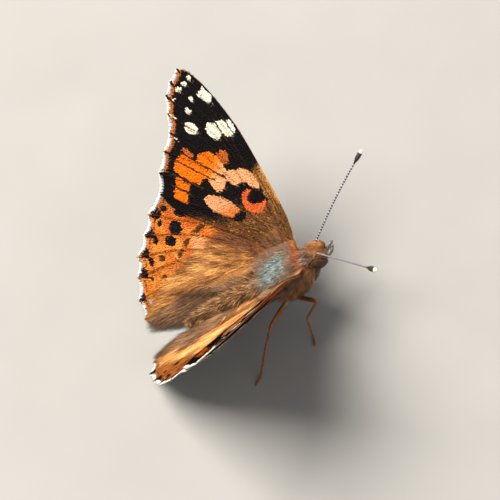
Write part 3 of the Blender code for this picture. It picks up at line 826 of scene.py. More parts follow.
def scales_on(wing, side, face, material):
    """Overlapping scales over one face of a wing, pointing away from its root."""
    plan = scale_sites(wing, face)
    heading = unit(unit(plan - WING_ROOT + (0.3, 0.0)) + RNG.normal(0.0, 0.06, plan.shape))
    aside = aside_of(heading)
    length = SCALE_SIZE[face][0] * RNG.uniform(0.85, 1.2, len(plan))
    width = SCALE_SIZE[face][1] * RNG.uniform(0.85, 1.15, len(plan))
    colour = WING_TONES[wing.name][face](plan)
    colour = colour * RNG.uniform(0.90, 1.08, (len(plan), 1))
    outward = 1.0 if face == "above" else -1.0
    rise = wing.relief(plan) * outward + MEMBRANE / 2.0
    tip_lift = RNG.uniform(0.025, 0.055, len(plan))
    corners = []
    for (along, across), lift in zip(SCALE_CORNERS, SCALE_LIFTS):
        spot = plan + heading * (along * length)[:, None] + aside * (across * width)[:, None]
        corners.append(wing.bend(spot, outward * (rise + 0.012 + lift * tip_lift), side))
    under = plan + heading * (0.5 * length)[:, None]
    corners.append(wing.bend(under, outward * (rise + 0.3 * tip_lift), side))
    points = np.stack(corners, axis=1).reshape(-1, 3)
    faces = repeat_faces(SCALE_FACES, len(plan), len(corners))
    if SIDES[side] != outward:
        faces = faces[:, ::-1]
    patch = np.vstack([SCALE_CORNERS - (0.5, 0.0), [(0.0, 0.0)]]) * PATCH
    places = (wing.unwrap(plan)[:, None] + patch[None]).reshape(-1, 2)
    colours = np.repeat(colour, len(corners), axis=0)
    name = f"{wing.name}_scales_{face}_{side}"
    piece = add_mesh(name, points, faces, colours, places, material, smooth=False)


def sheet_faces(rings, count):
    """Triangles of a closed sheet of two faces. Each face is a middle point and rings of points round it."""
    around = np.arange(count)
    after = (around + 1) % count
    faces = [np.stack((np.zeros(count, int), 1 + around, 1 + after), axis=-1)]
    for ring in range(rings - 1):
        near, far = 1 + ring * count, 1 + (ring + 1) * count
        faces.append(np.stack((near + around, far + around, far + after), axis=-1))
        faces.append(np.stack((near + around, far + after, near + after), axis=-1))
    top = np.vstack(faces)
    below = 1 + rings * count
    start, end = below - count + around, below - count + after
    wall = [
        np.stack((start, start + below, end), axis=-1),
        np.stack((end, start + below, end + below), axis=-1),
    ]
    return np.vstack([top, top[:, ::-1] + below, *wall])


def wing_skin(wing, side, material):
    """The wing's membrane: two faces with the veins' relief, closed round the edge."""
    spokes = wing.outline - WING_ROOT
    spokes = spokes * (1.0 - RIM_INSET / np.linalg.norm(spokes, axis=1))[:, None]
    shares = (np.arange(1, WING_RINGS + 1) / WING_RINGS) ** 0.8
    plan = np.vstack([WING_ROOT[None]] + [WING_ROOT + spokes * share for share in shares])
    relief = wing.relief(plan)
    points = np.vstack([wing.bend(plan, relief + half, side) for half in (MEMBRANE / 2.0, -MEMBRANE / 2.0)])
    triangles = sheet_faces(WING_RINGS, len(spokes))
    if side == "right":
        triangles = triangles[:, ::-1]
    colours = np.vstack([WING_TONES[wing.name][face](plan) for face in ("above", "below")])
    places = np.vstack([wing.unwrap(plan, 0.48, corner) for corner in (0.01, 0.51)])
    piece = add_mesh(f"{wing.name}_skin_{side}", points, triangles, colours, places, material)
    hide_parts(f"{wing.name}_{side}")


def spikes(paths, radii, normals):
    """Closed three-sided hairs along many like paths: points, triangles and the points that each hair has."""
    count, knots = paths.shape[:2]
    along = unit(np.gradient(paths, axis=1))
    aside = unit(np.cross(along, normals[:, None]))
    over = np.cross(aside, along)
    rings = []
    for knot in range(knots - 1):
        for turn in (0.0, 120.0, 240.0):
            cos, sin = math.cos(math.radians(turn)), math.sin(math.radians(turn))
            offset = aside[:, knot] * cos + over[:, knot] * sin
            rings.append(paths[:, knot] + offset * radii[:, knot, None])
    rings.append(paths[:, -1])
    points = np.stack(rings, axis=1)
    faces = [(0, 2, 1)]
    for knot in range(knots - 2):
        near, far = knot * 3, knot * 3 + 3
        for a in range(3):
            b = (a + 1) % 3
            faces += [(near + a, near + b, far + b), (near + a, far + b, far + a)]
    last = (knots - 2) * 3
    faces += [(last + a, last + (a + 1) % 3, last + 3) for a in range(3)]
    stride = points.shape[1]
    return points.reshape(-1, 3), repeat_faces(faces, count, stride), stride


def add_hairs(name, paths, radii, normals, colours, unwrap, material):
    """A coat piece of hairs. Each hair is a small patch of the bake map at its root's place."""
    points, faces, stride = spikes(paths, radii, normals)
    fan = np.stack((np.linspace(-0.5, 0.5, stride), np.resize((-0.5, 0.5, 0.0), stride)), axis=-1) * PATCH
    places = (unwrap[:, None] + fan[None]).reshape(-1, 2)
    piece = add_mesh(name, points, faces, np.repeat(colours, stride, axis=0), places, material)


def tapered(radius):
    return radius[:, None] * HAIR_TAPER[None]


def wing_hairs(wing, side, name, plan, length, radius, rise, colour, material, spread=0.08):
    """Long hairs that lie along a wing's upper side, from flat places towards its margin."""
    heading = unit(unit(plan - (0.2, -0.6)) + RNG.normal(0.0, spread, plan.shape))
    bend = RNG.normal(0.0, 0.10, len(plan))
    aside = aside_of(heading)
    ground = wing.relief(plan) + MEMBRANE / 2.0 + 0.05
    knots = []
    for share in HAIR_KNOTS:
        spot = plan + heading * (length * share)[:, None] + aside * (bend * length * share**2)[:, None]
        lift = ground + rise * math.sin(math.pi * (0.15 + 0.6 * share))
        knots.append(wing.bend(spot, lift, side))
    paths = np.stack(knots, axis=1)
    normals = unit(wing.bend(plan, ground + 1.0, side) - wing.bend(plan, ground, side))
    name = f"{name}_{side}"
    add_hairs(name, paths, tapered(radius), normals, colour, wing.unwrap(plan), material)


def sites_in(wing, count):
    """Random flat places inside a wing's outline."""
    plan = RNG.uniform(wing.low, wing.high, (count * 3, 2))
    return plan[inside(plan, wing.outline)][:count]


def hindwing_hair(side, material):
    """The golden-brown hair over the hindwing's base and inner fold, in locks, with painted shade in the
    hollow beside the fold and a painted highlight on the flat part.
    """
    plan = sites_in(HINDWING, HAIRS["hindwing"])
    reach, bearing = reach_and_bearing(plan)
    limit = np.interp(bearing, HAIR_BEARINGS, HAIR_REACH) * RNG.uniform(0.72, 1.08, len(plan)) - 1.2
    keep = (reach < limit) & (bearing > 12.0)
    plan, reach, bearing = plan[keep], reach[keep], bearing[keep]
    length = RNG.uniform(1.6, 3.0, len(plan)) * (1.0 + 0.4 * ease((bearing - 70.0) / 20.0))
    length = np.minimum(length, 0.9 * distance_to_path(plan, HINDWING.margin) + 0.4)
    out, back = plan[:, 0], plan[:, 1]
    on_top = ease((out - crease_out(back)) / 0.8)
    # Painted shade darkens the hair in the hollow beside the fold
    valley_shade = ease(1.0 - np.abs(out - 1.0) / 1.1) * ease((back - 8.0) / 2.5) * ease((17.0 - back) / 1.5)
    crest = ease(1.0 - np.abs(out - 3.5) / 0.9) * ease((back - 9.5) / 2.5)
    front = ease((66.0 - bearing) / 30.0)
    near = ease((7.5 - reach) / 3.5) * on_top
    locks = wobble(np.stack((bearing, 1.1 * reach), axis=-1), 3.2, 3.0)
    # A painted highlight brightens the hair on the wing's flat part, most on the right wing
    share = 0.48 + PAINTED_HAIR_HIGHLIGHT[side] * on_top - 0.26 * valley_shade + 0.14 * crest - 0.16 * front - 0.2 * near
    share = share + 0.26 * locks
    share = np.clip(share + RNG.normal(0.0, 0.20 + 0.10 * front, len(plan)), 0.0, 1.0)
    radius = RNG.uniform(0.013, 0.025, len(plan))
    rise = RNG.uniform(0.02, 0.16, len(plan))
    tone = hair_tone(plan, share)
    wing_hairs(HINDWING, side, "hindwing_hair", plan, length, radius, rise, tone, material)


def joining_hair(side, material):
    """Tufts on the hindwing's front edge, which close the slit between the two wings at the root."""
    plan = RNG.uniform((0.5, -0.2), (4.2, 2.2), (HAIRS["joining"], 2))
    plan = plan[inside(plan, HINDWING.outline)]
    length = RNG.uniform(0.7, 1.3, len(plan))
    rise = RNG.uniform(0.12, 0.36, len(plan))
    tone = blend(UMBER, GOLD_BROWN, RNG.random(len(plan)))
    radius = RNG.uniform(0.016, 0.028, len(plan))
    wing_hairs(HINDWING, side, "joining_hair", plan, length, radius, rise, tone, material, spread=0.5)


def forewing_hair(side, material):
    """Short brown hair over the forewing's base, thickest at its root."""
    plan = sites_in(FOREWING, HAIRS["forewing"])
    reach, _ = reach_and_bearing(plan)
    plan = plan[reach < RNG.uniform(2.0, 7.0, len(plan))]
    at_root = RNG.uniform((0.3, 0.6), (3.0, 3.2), (HAIRS["forewing_root"], 2))
    plan = np.vstack([plan, at_root[inside(at_root, FOREWING.outline)]])
    length = RNG.uniform(0.7, 1.5, len(plan))
    share = RNG.random(len(plan))
    tone = blend(blend(UMBER, OLIVE_GOLD, share), GOLD_BROWN, (share - 0.7) * 2.0)
    radius = RNG.uniform(0.02, 0.032, len(plan))
    rise = RNG.uniform(0.02, 0.10, len(plan))
    wing_hairs(FOREWING, side, "forewing_hair", plan, length, radius, rise, tone, material)


def square_to(direction, vectors):
    """Unit vectors without the part that lies along a direction."""
    return unit(vectors - direction * np.sum(vectors * direction, axis=1, keepdims=True))


def bow_between(start, end, raised):
    """Points of a curve from start to end that bows up by a vector in the middle, at shares along it."""
    middle = (start + end) / 2.0 + raised
    return lambda share: (1 - share) ** 2 * start + 2 * share * (1 - share) * middle + share**2 * end


def shoulder_fur(side, material):
    """The rounded fur that widens the thorax over the wing's root, lying towards the tail."""
    count = HAIRS["shoulder"]
    back = RNG.uniform(-3.3, 3.8, count)
    turn = np.full(count, math.radians(SHOULDER_TURN[side]))
    inner = mirrored(body_at(back, turn)[0], side)
    reach = SHOULDER_REACH * np.sin(math.pi * np.clip((back + 4.1) / 8.6, 0.0, 1.0)) ** 0.6
    outer = on_sheet(reach, np.maximum(back - HINGE_BACK, -1.0), 0.10, side)
    across = RNG.uniform(0.0, 1.0, (count, 1))
    bow = bow_between(inner, outer, np.array((0.0, 0.0, SHOULDER_BOW[side])))
    root = bow(across) - (0.0, 0.0, 0.10)
    slope = bow(across + 0.05) - bow(across - 0.05)
    normal = unit(np.cross((0.0, SIDES[side], 0.0), slope))
    normal = normal * np.sign(normal[:, 2:])
    lie = unit(slope) * (0.15 + 0.5 * across) + (0.0, 1.0, 0.0) + RNG.normal(0.0, 0.14, (count, 3))
    lie = square_to(normal, lie)
    length = RNG.uniform(0.6, 1.2, count)
    share = np.clip(RNG.normal(0.5, 0.25, count), 0.0, 1.0)
    place = math.pi / 2.0 - (math.pi / 2.0 - turn) * (1.0 + across[:, 0])
    # On the right the turn is mirrored, so the painted sheen stays on the thorax's left, towards the light
    place = place if side == "left" else math.pi - place
    outermost = ease(across[:, 0] * 2.0 - 1.2)
    colour = blend(fur_tone(back, place, share), blend(UMBER, GOLD_BROWN, share), outermost * 0.6)
    radius = RNG.uniform(0.014, 0.026, count)
    lift = RNG.uniform(0.2, 0.5, count)
    add_fur(f"shoulder_fur_{side}", root, lie, normal, length, lift, radius, colour, material)


def hindwing_root_hair(side, material):
    """Long hair that bridges from the body's side to the hindwing's base."""
    count = HAIRS["hindwing_root"]
    back = 0.5 + 9.5 * RNG.random(count) ** 1.5
    low = np.interp(back, (0.5, 4.0, 6.0), (4.0, 6.0, 20.0))
    turn = np.radians(low + RNG.uniform(0.0, 22.0, count))
    root, normal = (mirrored(part, side) for part in body_at(back, turn))
    out = RNG.uniform(0.1, 1.5, count)
    behind = back + 2.0 + RNG.uniform(0.9, 2.6, count)
    tip = on_sheet(out, behind, HINDWING_LIFT + 0.2 + RNG.uniform(0.0, 0.25, count), side)
    raised = RNG.uniform(0.2, 0.6, (count, 1)) * (1.0 - 0.7 * ease((back - 4.0) / 3.0))[:, None]
    bow = bow_between(root, tip, raised * (normal * 0.8 + (0.0, 0.0, 0.5)))
    paths = np.stack([bow(share) for share in HAIR_KNOTS], axis=1)
    share = np.clip(RNG.normal(0.5, 0.26, count), 0.0, 1.0)
    plan = np.stack((out, behind - HINDWING_BACK), axis=-1)
    colour = blend(blend(*ROOT_HAIR, share), hair_tone(plan, share), ease((back - 1.0) / 4.0))
    radii = tapered(RNG.uniform(0.016, 0.028, count))
    name = f"hindwing_root_hair_{side}"
    add_hairs(name, paths, radii, normal, colour, body_places(root), material)


def lengths_along(path):
    """How far along a path each of its points lies."""
    steps = np.linalg.norm(np.diff(path, axis=0), axis=1)
    return np.concatenate([[0.0], np.cumsum(steps)])


def read_along(where, along, rows):
    """Rows that are given at lengths along a path, read at other lengths."""
    return np.stack([np.interp(where, along, column) for column in rows.T], axis=-1)


def fringe(wing, side, material):
    """The fringe along the outer margin: white, and dark where a vein ends."""
    along = lengths_along(wing.margin)
    count = int(along[-1] / FRINGE_GAP)
    where = RNG.uniform(0.0, along[-1], count)
    plan = read_along(where, along, wing.margin)
    cell = np.interp(where, along, wing.cells[wing.cells >= 0.0])
    track = unit(read_along(where + 0.3, along, wing.margin) - read_along(where - 0.3, along, wing.margin))
    outward = -aside_of(track)
    heading = unit(outward + RNG.normal(0.0, 0.10, plan.shape))
    length = RNG.uniform(0.40, 0.54, count)
    start = plan - outward * RNG.uniform(0.16, 0.36, (count, 1))
    at_vein = np.abs(cell - np.round(cell))
    dark = at_vein < 0.06 * RNG.uniform(0.4, 1.4, count)
    length = np.where(dark, 0.7, 1.0) * length
    colour = np.where(dark[:, None], SOOT, FRINGE_WHITE * RNG.uniform(0.92, 1.0, (count, 1)))
    level = RNG.uniform(-0.05, 0.06, count)
    knots = [wing.bend(start + heading * (length * share)[:, None], level, side) for share in FRINGE_KNOTS]
    normals = unit(wing.bend(start, level + 1.0, side) - wing.bend(start, level, side))
    radii = tapered(RNG.uniform(0.028, 0.042, count))
    name = f"{wing.name}_fringe_{side}"
    paths = np.stack(knots, axis=1)
    add_hairs(name, paths, radii, normals, colour, wing.unwrap(plan), material)


# Materials

# How much fine grain changes colour and gloss, and the size of the eye's facets and clouds
GRAIN_CONTRAST = 0.12
EYE_FACET = 0.055
EYE_CLOUD = 0.7


class Finish:
    """A new material with its Principled shader, and short ways to add the nodes that drive it."""

    def __init__(self, name):
        self.material = bpy.data.materials.new(name)
        self.material.use_nodes = True
        self.shader = self.material.node_tree.nodes["Principled BSDF"]

    def feed(self, node, **inputs):
        """Gives each named input of a node its value, or the output of another node that drives it."""
        for name, value in inputs.items():
            socket = node.inputs[name.replace("_", " ")]
            if isinstance(value, bpy.types.NodeSocket):
                self.material.node_tree.links.new(value, socket)
            else:
                socket.default_value = value

    def add(self, kind, **inputs):
        node = self.material.node_tree.nodes.new(f"ShaderNode{kind}")
        self.feed(node, **inputs)
        return node

    def texture(self, kind, **inputs):
        """A texture in the object's own space."""
        return self.add(kind, Vector=self.add("TexCoord").outputs["Object"], **inputs)

    def spread(self, value, low, high):
        """A value from 0 to 1, spread between two limits."""
        return self.add("MapRange", Value=value, To_Min=low, To_Max=high).outputs["Result"]

    def ramp(self, value, colours, places=(0.0, 1.0)):
        """A display colour that goes from one to another as a value goes from place to place."""
        node = self.add("ValToRGB", Fac=value)
        for element, colour, place in zip(node.color_ramp.elements, colours, places):
            element.position = place
            element.color = (*linear(colour), 1.0)
        return node.outputs["Color"]


def tinted_material(name, grain, roughness, bump, gleam):
    """A surface that takes its colour from the mesh, with fine grain in colour, gloss and height."""
    finish = Finish(name)
    noise = finish.texture("TexNoise", Scale=1.0 / (grain * MM), Detail=3.0).outputs["Fac"]
    tint = finish.add("VertexColor")
    tint.layer_name = "tint"
    mixed = finish.add("VectorMath")
    mixed.operation = "SCALE"
    level = finish.spread(noise, 1.0 - GRAIN_CONTRAST, 1.0 + GRAIN_CONTRAST)
    finish.feed(mixed, Vector=tint.outputs["Color"], Scale=level)
    height = finish.add("Bump", Strength=bump, Distance=grain * MM * 0.5, Height=noise)
    finish.feed(
        finish.shader,
        Base_Color=mixed.outputs["Vector"],
        Roughness=finish.spread(noise, roughness - GRAIN_CONTRAST, roughness + GRAIN_CONTRAST),
        Normal=height.outputs["Normal"],
        Specular_IOR_Level=gleam,
    )
    return finish.material


def eye_material():
    """A faceted, glossy dark brown eye with a paler brown cloud."""
    finish = Finish("eye_facets")
    facets = finish.texture("TexVoronoi", Scale=1.0 / (EYE_FACET * MM), Randomness=0.25).outputs["Distance"]
    cloud = finish.texture("TexNoise", Scale=1.0 / (EYE_CLOUD * MM)).outputs["Fac"]
    height = finish.add("Bump", Strength=0.35, Distance=0.02 * MM, Height=facets)
    height.invert = True
    finish.feed(
        finish.shader,
        Base_Color=finish.ramp(cloud, (rgb(20, 11, 7), rgb(84, 52, 28)), (0.35, 0.68)),
        Roughness=finish.spread(facets, 0.38, 0.60),
        Normal=height.outputs["Normal"],
        Specular_IOR_Level=0.35,
    )
    return finish.material


# The body

def coat_depth_at(back):
    head, thorax, abdomen = COAT_DEPTH["head"], COAT_DEPTH["thorax"], COAT_DEPTH["abdomen"]
    depth = head + (thorax - head) * ease((back + 4.6) / 1.6)
    depth = depth + (abdomen - thorax) * ease((back - 2.6) / 1.6)
    return depth * (1.0 - 0.7 * ease((back - 14.5) / 2.0))


STATION_TABLE = curve_through(BODY_STATIONS, 8)


def body_section(back):
    """Half width, half height and height of the centre of the body's skin, at a place along it."""
    depth = coat_depth_at(back)
    width, height, centre = (np.interp(back, STATION_TABLE[:, 0], column) for column in STATION_TABLE.T[1:])
    return np.maximum(width - depth, 0.05), np.maximum(height - depth, 0.05), centre


def body_at(back, turn, outside=0.0):
    """A point of the body's skin at a place along it and a turn round it, and its outward normal."""
    width, height, centre = body_section(back)
    before, after = body_section(back - NORMAL_STEP), body_section(back + NORMAL_STEP)
    widening, heightening, rise = ((far - near) / (2.0 * NORMAL_STEP) for near, far in zip(before, after))
    cos, sin = np.cos(turn), np.sin(turn)
    slant = height * widening * cos**2 + width * sin * (rise + heightening * sin)
    normal = unit(np.stack((height * cos, -slant, width * sin), axis=-1))
    point = np.stack((width * cos, np.broadcast_to(back, cos.shape), centre + height * sin), axis=-1)
    return point + normal * outside, normal


def turn_of(points):
    """The turn of points round the body's axis, from its left side over its back."""
    centre = np.interp(points[:, 1], STATION_TABLE[:, 0], STATION_TABLE[:, 3])
    return np.arctan2(points[:, 2] - centre, points[:, 0])


def ring_faces(rings, count):
    """Faces of a closed loft: its walls, and a fan of one polygon at each end."""
    faces = []
    for ring in range(rings - 1):
        for a in range(count):
            b = (a + 1) % count
            faces.append((ring * count + a, ring * count + b, (ring + 1) * count + b, (ring + 1) * count + a))
    faces.append(tuple(range(count))[::-1])
    faces.append(tuple((rings - 1) * count + a for a in range(count)))
    return faces


def tube_into(shape, path, radii, sides=12):
    """Adds a closed tube to a bmesh, in millimetres and body axes."""
    along = unit(np.gradient(path, axis=0))
    upward, sideways = np.array((0.0, 0.3, 1.0)), np.array((1.0, 0.0, 0.0))
    guide = upward if abs(along[0] @ unit(upward)) < 0.9 else sideways
    verts = []
    for point, tangent, radius in zip(path, along, radii):
        first = unit(guide - tangent * (guide @ tangent))
        second = np.cross(tangent, first)
        guide = first
        for turn in np.arange(sides) * 2.0 * math.pi / sides:
            verts.append(shape.verts.new(point + radius * (math.cos(turn) * first + math.sin(turn) * second)))
    for face in ring_faces(len(path), sides):
        shape.faces.new([verts[index] for index in face])


def mirrored(points, side):
    return np.asarray(points, float) * (SIDES[side], 1.0, 1.0)


def leg_path(name, side):
    """Root, knee, ankle, heel and toe of a walking leg."""
    joints = mirrored([(-x, y, z) for x, y, z in LEG_JOINTS[name]], side)
    x, y = LEG_TOES[name]
    toe_x = -x * SIDES[side]
    toe_y = y + (LEFT_STEP[name] if side == "left" else 0.0)
    cos, sin = math.cos(PITCH), math.sin(PITCH)
    ankle = joints[2]
    ankle_floor = np.array((ankle[0], ankle[1] * cos + ankle[2] * sin))
    step = unit(np.array((toe_x, toe_y)) - ankle_floor) * HEEL_TO_TOE
    heel = from_floor(toe_x - step[0], toe_y - step[1], HEEL_HEIGHT)
    toe = from_floor(toe_x, toe_y, TOE_HEIGHT)
    return np.vstack([joints, heel, toe])


def leg_stations(name, side):
    """A finely divided path along a leg, with its radius at each place."""
    joints = leg_path(name, side)
    path, radii = [], []
    for start, end, sizes, steps in zip(joints, joints[1:], LEG_RADII, LEG_STEPS):
        for share in np.arange(steps) / steps:
            path.append(start + (end - start) * share)
            radii.append(np.interp(share, (0.0, 0.35, 0.85, 1.0), sizes))
    return np.array(path + [joints[-1]]), np.array(radii + [0.07])


def body_tone(points):
    """The skin's colours: the markings and painted sheen of the coat over it, and tan legs."""
    colour = fur_tone(points[:, 1], turn_of(points), np.full(len(points), 0.35))
    leg = np.maximum(ease((np.abs(points[:, 0]) - 2.6) / 0.5), ease((-points[:, 2] - 3.6) / 0.4))
    return blend(colour, leg_tone(points), leg)


def leg_tone(points):
    """Tan, with painted shade darkening the right middle leg's femur, on the body's shaded side."""
    x, y = points[:, 0], points[:, 1]
    # Painted shade on the right middle leg's femur, below the right wing
    femur_shade = ease((-2.2 - x) / 0.4) * ease((x + 4.6) / 0.3) * ease((0.4 - y) / 0.6)
    return blend(rgb(150, 88, 40), rgb(96, 52, 24), femur_shade * 0.7)


def body_into(shape):
    """Adds the body's loft to a bmesh, with slight ridges on the abdomen's segments."""
    turn = np.arange(SKIN_SIDES) * 2.0 * math.pi / SKIN_SIDES
    verts = []
    for back in np.linspace(BODY_STATIONS[0][0], BODY_STATIONS[-1][0], SKIN_RINGS):
        points, _ = body_at(np.full(SKIN_SIDES, back), turn)
        segment = np.sin(math.pi * ABDOMEN_SEGMENTS * (back - ABDOMEN_FRONT) / ABDOMEN_LENGTH)
        ridge = SEGMENT_RIDGE * abs(segment) if back > ABDOMEN_FRONT else 0.0
        points[:, 0] *= 1.0 + ridge
        points[:, 2] += ridge * 1.5 * np.sin(turn)
        verts.extend(shape.verts.new(point) for point in points)
    for face in ring_faces(SKIN_RINGS, SKIN_SIDES):
        shape.faces.new([verts[index] for index in face])


def merged_skin(shape):
    """Points and triangles of one smooth skin round all the closed forms of a bmesh, merged by voxels."""
    bmesh.ops.recalc_face_normals(shape, faces=shape.faces[:])
    mesh = bpy.data.meshes.new("skin_draft")
    shape.to_mesh(mesh)
    shape.free()
    draft = add_object("skin_draft", mesh)
    remesh = draft.modifiers.new("voxels", "REMESH")
    remesh.mode = "VOXEL"
    remesh.voxel_size = SKIN_VOXEL
    smooth = draft.modifiers.new("relax", "SMOOTH")
    smooth.factor = 0.5
    smooth.iterations = 3
    graph = bpy.context.evaluated_depsgraph_get()
    made = bpy.data.meshes.new_from_object(draft.evaluated_get(graph))
    bpy.data.objects.remove(draft)
    points = np.empty(len(made.vertices) * 3, np.float32)
    made.vertices.foreach_get("co", points)
    made.calc_loop_triangles()
    triangles = np.empty(len(made.loop_triangles) * 3, np.int32)
    made.loop_triangles.foreach_get("vertices", triangles)
    bpy.data.meshes.remove(made)
    return points.reshape(-1, 3).astype(float), triangles.reshape(-1, 3)


def make_skin(material):
    """One closed skin for head, thorax, abdomen, palps, forelegs and walking legs."""
    shape = bmesh.new()
    body_into(shape)
    for side in SIDES:
        tube_into(shape, *limb(PALP_PATH, PALP_RADII, side))
        tube_into(shape, *limb(FORELEG_PATH, FORELEG_RADII, side))
        for name in LEG_JOINTS:
            tube_into(shape, *leg_stations(name, side), sides=10)
    points, triangles = merged_skin(shape)
    piece = add_mesh("body_skin", points, triangles, body_tone(points), body_places(points), material)
    nodes = ["head", "thorax", "abdomen"]
    for side in SIDES:
        nodes += [f"palp_{side}", f"foreleg_{side}"]
        nodes += [f"{name}_{side}_{part}" for name in LEG_JOINTS for part in ("femur", "tibia", "tarsus")]
    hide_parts(*nodes)


def body_places(points):
    """Places on an unwrap of the body: the turn round its axis, and the distance along it."""
    turn = turn_of(points) / (2.0 * math.pi) + 0.5
    along = (points[:, 1] + 9.0) / 27.0
    return np.stack((turn, along), axis=-1) * 0.96 + 0.02


# Tones of the body's hair, each from dark to bright
FLANK_HAIR = rgb(98, 62, 38), rgb(216, 152, 96)
ABDOMEN_HAIR = rgb(48, 32, 22), rgb(146, 96, 54)
ABDOMEN_TIPS = rgb(250, 200, 134)
MAUVE_HAIR = rgb(98, 72, 58), rgb(186, 148, 122)
# Painted sheen on the thorax: its dark blue-green, and its painted highlights, greener at the patch's edge
# and bluer in its middle
SHEEN_DARK = rgb(84, 98, 92)
SHEEN_BRIGHT = rgb(216, 228, 184), rgb(216, 242, 246)
COLLAR_HAIR = rgb(126, 62, 28), rgb(218, 130, 72)
FACE_HAIR = rgb(58, 38, 26), rgb(196, 146, 104)
CROWN_HAIR = rgb(124, 70, 34), rgb(232, 166, 104)
NAPE_SPECKS = rgb(72, 52, 42), rgb(222, 212, 206)
BELLY_HAIR = rgb(140, 112, 92), rgb(222, 200, 180)
EYE_RIM_HAIR = rgb(92, 56, 34), rgb(206, 140, 92)


def fur_tone(back, turn, share):
    """The body hair's colours, by place along and round the body and by each hair's own share."""
    top = np.sin(turn)
    golden = blend(blend(*ABDOMEN_HAIR, share * 1.5), ABDOMEN_TIPS, share * 2.4 - 1.2)
    colour = blend(blend(*FLANK_HAIR, share), golden, ease((back - 3.2) / 1.5))
    on_thorax = ease((back + 3.6) / 0.8) * ease((5.0 - back) / 1.2)
    colour = blend(colour, blend(*MAUVE_HAIR, share), on_thorax * ease((top - 0.05) / 0.5))
    # Painted sheen: blue-green hair with painted highlights on the upper left of the thorax, towards the
    # light
    sheen = sheen_patch(back, turn)
    glint = blend(*SHEEN_BRIGHT, sheen * 1.6 - 0.6)
    colour = blend(colour, blend(SHEEN_DARK, glint, share), 0.88 * sheen)
    collar = ease(1.3 - np.abs(back + 3.4) / 0.8) * ease((np.sin(turn + 0.2) - 0.2) / 0.4)
    colour = blend(colour, blend(*COLLAR_HAIR, share), collar)
    crown = ease((-5.5 - back) / 0.5) * ease((top - 0.2) / 0.4)
    face = blend(blend(*FACE_HAIR, share), blend(*CROWN_HAIR, share), crown)
    colour = blend(colour, face, ease((-4.0 - back) / 0.3))
    specks = ease(1.0 - np.abs(back + 4.7) / 0.75) * ease((top + 0.3) / 0.4)
    colour = blend(colour, blend(*NAPE_SPECKS, share * 3.0 - 1.2), specks * 0.8)
    return blend(colour, blend(*BELLY_HAIR, share), ease((-top - 0.5) / 0.4))


def sheen_patch(back, turn):
    """Where the short hair on the thorax carries a painted blue-green sheen, on its upper left, towards the
    light: 1 inside, 0 outside.
    """
    middle = np.radians(71.0 + 2.5 * back)
    facing = ease((np.cos(turn - middle) - 0.52) / 0.40) * ease((np.sin(turn) - 0.52) / 0.2)
    return facing * ease((back + 2.6) / 2.4) * ease((4.6 - back) / 1.8)


def bent_hairs(root, lie, normal, reach, lift, radius):
    """Paths and radii of hairs that leave the skin at a slant and bend back down to it."""
    knots = []
    for share in HAIR_KNOTS:
        rise = normal * (reach * lift * (share - 0.45 * share**2))[:, None]
        knots.append(root + lie * (reach * share)[:, None] + rise)
    return np.stack(knots, axis=1), tapered(radius)


def add_fur(name, root, lie, normal, reach, lift, radius, colour, material):
    """A coat piece of bent hairs, laid out on the unwrap of the body."""
    paths, radii = bent_hairs(root, lie, normal, reach, lift, radius)
    add_hairs(name, paths, radii, normal, colour, body_places(root), material)


def off_eyes(paths):
    """Which hairs keep clear of both eyes."""
    near = (np.abs(paths) * (1.0, 0.0, 0.0) + paths * (0.0, 1.0, 1.0) - EYE_CENTRE) / EYE_RADII
    return np.linalg.norm(near, axis=-1).min(axis=1) > 1.06


def body_hairs(name, count, span, length, radius, stand, swirl, material):
    """Hair over a stretch of the body. It lies towards the tail, and by its swirl down the sides."""
    back = RNG.uniform(*span, count * 2)
    width = np.interp(back, STATION_TABLE[:, 0], STATION_TABLE[:, 1])
    back = back[RNG.random(len(back)) < width / width.max()][:count]
    turn = RNG.uniform(-math.pi, math.pi, len(back))
    root, normal = body_at(back, turn, -0.03)
    clump = np.sin(3.1 * back + 2.0 * np.sin(3.0 * turn)) * np.sin(5.0 * turn + back)
    share = np.clip(RNG.normal(0.48, 0.25, len(back)) + 0.2 * clump, 0.0, 1.0)
    colour = fur_tone(back, turn, share)
    lie = np.tile((0.0, 1.0, 0.0), (len(back), 1)) + RNG.normal(0.0, 0.2, (len(back), 3))
    around = np.stack((np.sin(turn), np.zeros_like(turn), -np.cos(turn)), axis=-1)
    lie = lie + around * (swirl * np.clip(2.0 * np.cos(turn), -1.0, 1.0))[:, None]
    away = np.sum(lie * normal, axis=1, keepdims=True)
    lie = unit(lie - normal * np.where(away > 0.0, 0.3 * away, away))
    crown = ease((-4.0 - back) / 0.4) * ease((np.sin(turn) - 0.35) / 0.4)
    sleek = sheen_patch(back, turn)
    nape = ease(1.0 - np.abs(back + 4.3) / 0.8)
    reach = RNG.uniform(*length, len(back)) * (1.0 + 0.15 * clump)
    reach = reach * (1.0 - 0.45 * sleek) * (1.0 + 0.5 * crown) * (1.0 - 0.35 * nape)
    lift = RNG.uniform(*stand, len(back)) * (1.0 - 0.3 * sleek + 0.9 * crown)
    paths, radii = bent_hairs(root, lie, normal, reach, lift, RNG.uniform(*radius, len(back)))
    clear = off_eyes(paths)
    places = body_places(root[clear])
    add_hairs(name, paths[clear], radii[clear], normal[clear], colour[clear], places, material)


